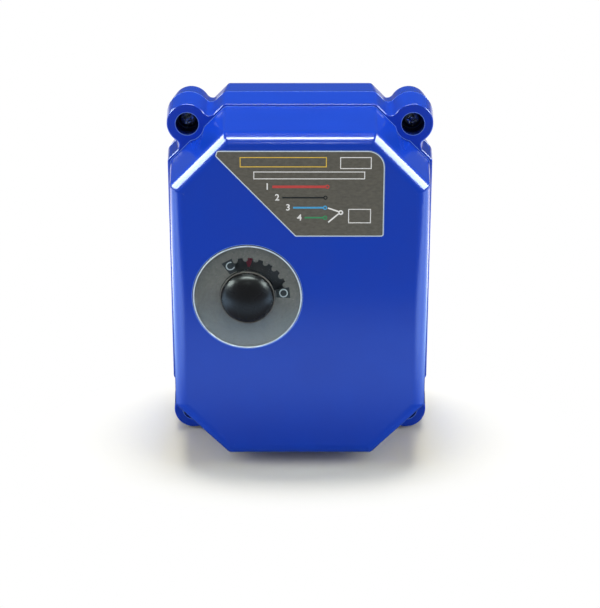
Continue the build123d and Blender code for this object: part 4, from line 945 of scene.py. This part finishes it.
def addDialMarks():
    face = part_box("dial_plate")[0].y + 1e-6
    thick = dialMarks["thick"]
    inner, outer = dialMarks["boxRadii"]
    arcSteps = dialMarks["arcSteps"]
    dark, letters = bmesh.new(), bmesh.new()
    for letter, ends in dialMarks["boxes"].items():
        start, end = (radians(v) for v in ends)
        corner = outer / cos((end - start) / 2)
        outline = [onCircle(inner, start), onCircle(corner, start),
                   onCircle(corner, end), onCircle(inner, end)]
        arc = [onCircle(inner, end + (start - end) * k / arcSteps) for k in range(1, arcSteps)]
        prism(dark, outline + arc, face, thick)
        spot = onCircle(dialMarks["letterRadius"], (start + end) / 2)
        front = face - dialMarks["letterProud"] * mm
        figure(letters, letter, spot, dialMarks["letterHeight"], front, thick, sum(ends) / 2 - 90)
    addPiece("dial_boxes", dark, "blackInk", "housing")
    addPiece("dial_letters", letters, "greyInk", "housing")
    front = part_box("dial_lens")[0].y
    for name, (radius, own, behind, finish) in dialMarks["beads"].items():
        bead = bmesh.new()
        spots = [onCircle(own, tau * k / dialMarks["beadSides"])
                 for k in range(dialMarks["beadSides"])]
        profile = [((radius + out) * mm, front + (behind - up) * mm) for out, up in spots]
        turned(bead, (0, 0), profile + profile[:1], dialMarks["beadSteps"])
        addPiece(name, bead, finish, "housing")


addDialMarks()
print("printed marks made")

# The circuit board's small parts in mm from its middle; sizes are width, height and depth.
boardParts = {
    "thick": 0.035,
    "padThick": 0.0525,
    "screwPad": (1.95, 2.75),  # the tinned ring under each screw head
    "trackPad": (0.25, 0.62),
    "padSteps": 20,
    "driver": {"at": (16.3, 6.8), "body": (3.0, 4.9, 1.5)},
    "legs": {"count": 4, "pitch": 1.27, "size": (0.9, 0.42, 0.35)},
    "chips": [
        (-21.6, 4.0), (-21.6, 1.0), (-21.6, -2.0), (-21.6, -4.9),
        (22.6, -3.6), (22.6, -0.6), (22.6, 2.4),
    ],
    "chipSize": (2.0, 1.25, 0.55),
    "chipEnd": 0.42,
    "chipStep": (0.06, 0.04),  # how much the tinned ends stand past its sides and its top
    "tracks": [
        [(-20.4, 4.0), (-19.2, 4.0), (-18.9, 3.7), (-18.9, -1.0)],
        [(-20.4, 1.0), (-19.6, 1.0), (-19.3, 0.7), (-19.3, -4.2)],
        [(-20.4, -2.0), (-20.0, -2.4), (-20.0, -5.6), (-18.6, -7.0)],
        [(-22.9, -4.9), (-23.6, -4.9), (-23.6, 3.6), (-22.9, 4.0)],
        [(14.2, 8.7), (13.6, 8.7), (13.6, -2.4)],
        [(18.4, 4.9), (19.6, 4.9), (20.6, 3.2), (21.3, 2.4)],
        [(23.8, 2.4), (24.2, 2.0), (24.2, -3.2), (23.8, -3.6)],
        [(21.3, -0.6), (20.6, -0.6), (19.4, 0.6), (19.4, 3.6)],
        [(16.5, -5.4), (20.4, -5.4), (22.6, -4.4)],
        [(2.4, -3.2), (13.2, -3.2)],
        [(-9.0, -2.9), (-3.6, -2.9)],
    ],
    "trackWidth": 0.7,
}
brickTrim = 0.12  # how far a brick's front edges are cut back, as a share of its least side


def brick(shape, middle, size, y):
    # a block standing on the face at y, its front edges cut back
    width, height, depth = size
    trim = min(size) * brickTrim
    rows = []
    for out, less in ((0, 0), (depth - trim, 0), (depth, trim)):
        x, z = width / 2 - less, height / 2 - less
        rows.append(addRing(shape, [((middle[0] + i * x) * mm, y - out * mm, (middle[1] + k * z) * mm)
                                    for i, k in ((-1, -1), (1, -1), (1, 1), (-1, 1))]))
    for first, second in zip(rows, rows[1:]):
        bridge(shape, first, second)
    shape.faces.new(rows[0])
    shape.faces.new(rows[-1])


def addBoardParts():
    low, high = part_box("circuit_board")
    face = low.y + 1e-6
    centre = Vector(middleOf(low, high)) / mm
    thick, padThick = boardParts["thick"], boardParts["padThick"]
    tracks, tin, ceramic, epoxy = (bmesh.new() for k in range(4))
    for path in boardParts["tracks"]:
        spots = [centre + Vector(spot) for spot in path]
        stroke(tracks, spots, boardParts["trackWidth"], face, thick)
        for spot in (spots[0], spots[-1]):
            ringPrism(tin, spot, *boardParts["trackPad"], face, padThick,
                      steps=boardParts["padSteps"])
    for low, high in looseBoxes("board_screws"):
        spot = Vector(middleOf(low, high)) / mm
        ringPrism(tin, spot, *boardParts["screwPad"], face, padThick)
    width, height, depth = boardParts["chipSize"]
    end = boardParts["chipEnd"]
    aside, proud = boardParts["chipStep"]
    for spot in boardParts["chips"]:
        at = centre + Vector(spot)
        brick(ceramic, at, (width - 2 * end, height - aside, depth), face)
        for side in (-1, 1):
            out = Vector((side * (width - end) / 2, 0))
            brick(tin, at + out, (end, height, depth + proud), face)
    driver, legs = boardParts["driver"], boardParts["legs"]
    at = centre + Vector(driver["at"])
    brick(epoxy, at, driver["body"], face)
    for side in (-1, 1):
        out = side * (driver["body"][0] + legs["size"][0]) / 2
        for k in range(legs["count"]):
            up = (k - (legs["count"] - 1) / 2) * legs["pitch"]
            brick(tin, at + Vector((out, up)), legs["size"], face)
    addPiece("board_tracks", tracks, "greenTrack", "housing")
    addPiece("board_pads", tin, "solder", "housing")
    addPiece("board_chips", ceramic, "chipCeramic", "housing")
    addPiece("board_driver", epoxy, "darkEpoxy", "housing")


addBoardParts()

# Round ejector marks on the back wall, in mm. The flange boss stands out behind that wall.
backMarks = {
    "places": [
        (-12.0, 36.0), (15.2, 43.0), (42.0, 36.0), (46.0, -14.0), (38.0, -42.0), (-8.0, -42.0),
    ],
    "radii": (2.2, 2.6),
    "proud": 0.09,
    "bossHeight": 4.8,
}


def addBackMarks():
    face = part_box("base_housing")[1].y - backMarks["bossHeight"] * mm - 1e-6
    shape = bmesh.new()
    for spot in backMarks["places"]:
        ringPrism(shape, spot, *backMarks["radii"], face, -backMarks["proud"])
    addPiece("back_marks", shape, "blueMark", "housing")


addBackMarks()
print("board and back made")


def addCamera():
    data = bpy.data.cameras.new("camera")
    data.lens = camera["lens"]
    data.sensor_width = camera["sensor"]
    data.clip_start = camera["nearest"]
    made = bpy.data.objects.new("camera", data)
    made.location = camera["place"]
    view = Vector(camera["aim"]) - Vector(camera["place"])
    made.rotation_euler = view.to_track_quat("-Z", "Y").to_euler()
    scene.collection.objects.link(made)
    scene.camera = made


def floorColour(tree, aside, depth):
    # the paper's colour, with a warm patch painted close to the object's sides against the blue light it
    # throws there
    near = remap(tree, aside, *studio["floorNearSides"], smooth=True)
    end = remap(tree, aside, *studio["floorNearEnd"], 1.0, 0.0, True)
    front = remap(tree, depth, *studio["floorNearFront"], smooth=True)
    near = maths(tree, "MULTIPLY", maths(tree, "MULTIPLY", near, end), front)
    return mixColours(tree, near, studio["floorColour"], studio["floorNear"])


def floorInGloss(tree, aside, depth):
    # what mirror-like reflections see of the floor: bright sides, a pale front, a white rear
    sides = remap(tree, aside, *studio["floorSides"], smooth=True)
    start = remap(tree, depth, *studio["floorSidesFront"], smooth=True)
    end = remap(tree, depth, *studio["floorSidesRear"], 1.0, 0.0, True)
    sides = maths(tree, "MULTIPLY", maths(tree, "MULTIPLY", sides, start), end)
    levels = (studio["roomInGloss"], studio["floorFrontBright"])
    front = remap(tree, depth, *studio["floorFront"], *levels, True)
    shade = remap(tree, depth, *studio["floorShade"], 1.0, studio["floorShaded"], True)
    front = maths(tree, "MULTIPLY", front, shade)
    sides = maths(tree, "MULTIPLY", sides, studio["floorSidesBright"])
    behind = remap(tree, depth, *studio["floorRear"], smooth=True)
    levels = (studio["floorRearBright"], studio["rearInGloss"])
    rear = remap(tree, depth, *studio["floorRearEnd"], *levels, True)
    rear = maths(tree, "MULTIPLY", behind, rear)
    strength = maths(tree, "MAXIMUM", maths(tree, "ADD", front, sides), rear)
    tint = mixColours(tree, behind, studio["glossTint"], (1, 1, 1))
    return addNode(tree, "Emission", (), {"Color": tint, "Strength": strength}).outputs[0]


def addFloor():
    low = cadBox[0][2]
    size = studio["floorSize"]
    mesh = bpy.data.meshes.new("floor")
    corners = [(-size, -size, low), (size, -size, low), (size, size, low), (-size, size, low)]
    mesh.from_pydata(corners, [], [(0, 1, 2, 3)])
    made = bpy.data.objects.new("floor", mesh)
    scene.collection.objects.link(made)
    paper = bpy.data.materials.new("paper")
    paper.use_nodes = True
    tree = paper.node_tree
    tree.nodes.remove(tree.nodes["Principled BSDF"])
    spot = addNode(tree, "NewGeometry").outputs["Position"]
    split = addNode(tree, "SeparateXYZ", (), {0: spot}).outputs
    depth = split[1]
    aside = maths(tree, "ABSOLUTE", maths(tree, "SUBTRACT", split[0], studio["floorMiddle"][0]))
    colour = floorColour(tree, aside, depth)
    lit = addNode(tree, "BsdfDiffuse", (), {"Color": colour}).outputs[0]
    white = addNode(tree, "Emission", (), {"Color": (1, 1, 1, 1), "Strength": 1.0}).outputs[0]
    away = spot
    for kind, key in (("SUBTRACT", "floorMiddle"), ("MULTIPLY", "floorShape")):
        step = addNode(tree, "VectorMath", {"operation": kind}, {0: away, 1: studio[key]})
        away = step.outputs[0]
    length = addNode(tree, "VectorMath", {"operation": "LENGTH"}, {0: away}).outputs["Value"]
    far = remap(tree, length, *studio["floorFade"], smooth=True)
    seen = addNode(tree, "MixShader", (), {0: far, 1: lit, 2: white}).outputs[0]
    gloss = addNode(tree, "LightPath").outputs["Is Glossy Ray"]
    mirrored = floorInGloss(tree, aside, depth)
    both = addNode(tree, "MixShader", (), {0: gloss, 1: seen, 2: mirrored}).outputs[0]
    tree.links.new(both, tree.nodes["Material Output"].inputs["Surface"])
    mesh.materials.append(paper)


def addWorld():
    # white to the camera, an even fill on matt surfaces, and a dark, cool room in gloss
    world = bpy.data.worlds.new("studio")
    world.use_nodes = True
    tree = world.node_tree
    back = tree.nodes["Background"]
    ray = addNode(tree, "LightPath").outputs
    gloss = ray["Is Glossy Ray"]
    spot = addNode(tree, "TexCoord").outputs["Generated"]
    way = addNode(tree, "SeparateXYZ", (), {0: spot}).outputs
    side = remap(tree, maths(tree, "ABSOLUTE", way[0]), *studio["sidesSpan"], smooth=True)
    side = maths(tree, "MULTIPLY", side, studio["sidesInGloss"])
    levels = (studio["roomInGloss"], studio["rearInGloss"])
    rear = remap(tree, way[1], *studio["rearSpan"], *levels, True)
    mirrored = maths(tree, "ADD", side, rear)
    numbers = {"data_type": "FLOAT"}
    light = addNode(tree, "Mix", numbers, {0: gloss, 2: studio["fill"], 3: mirrored}).outputs[0]
    seen = maths(tree, "MAXIMUM", ray["Is Camera Ray"], ray["Is Transmission Ray"])
    total = addNode(tree, "Mix", numbers, {0: seen, 2: light, 3: 1.0}).outputs[0]
    tree.links.new(total, back.inputs["Strength"])
    tint = mixColours(tree, gloss, (1, 1, 1), studio["glossTint"])
    tree.links.new(tint, back.inputs["Color"])
    scene.world = world


def addSoftboxes():
    for name, look in softboxes.items():
        lamp = bpy.data.lights.new(name, "AREA")
        lamp.shape = "RECTANGLE"
        lamp.size, lamp.size_y = look["size"]
        if look["only"] == "gloss":
            lamp.color = studio["glossLamps"]
        lamp.energy = look["bright"] * pi * lamp.size * lamp.size_y
        made = bpy.data.objects.new(name, lamp)
        made.location = look["place"]
        aim = Vector(studio["lampsAim"]) - Vector(look["place"])
        made.rotation_euler = aim.to_track_quat("-Z", "Y").to_euler()
        made.visible_diffuse = look["only"] == "matt"
        made.visible_glossy = look["only"] == "gloss"
        made.visible_camera = False
        scene.collection.objects.link(made)


addCamera()
addFloor()
addWorld()
addSoftboxes()
scene.view_settings.view_transform = "Standard"
print("studio made")
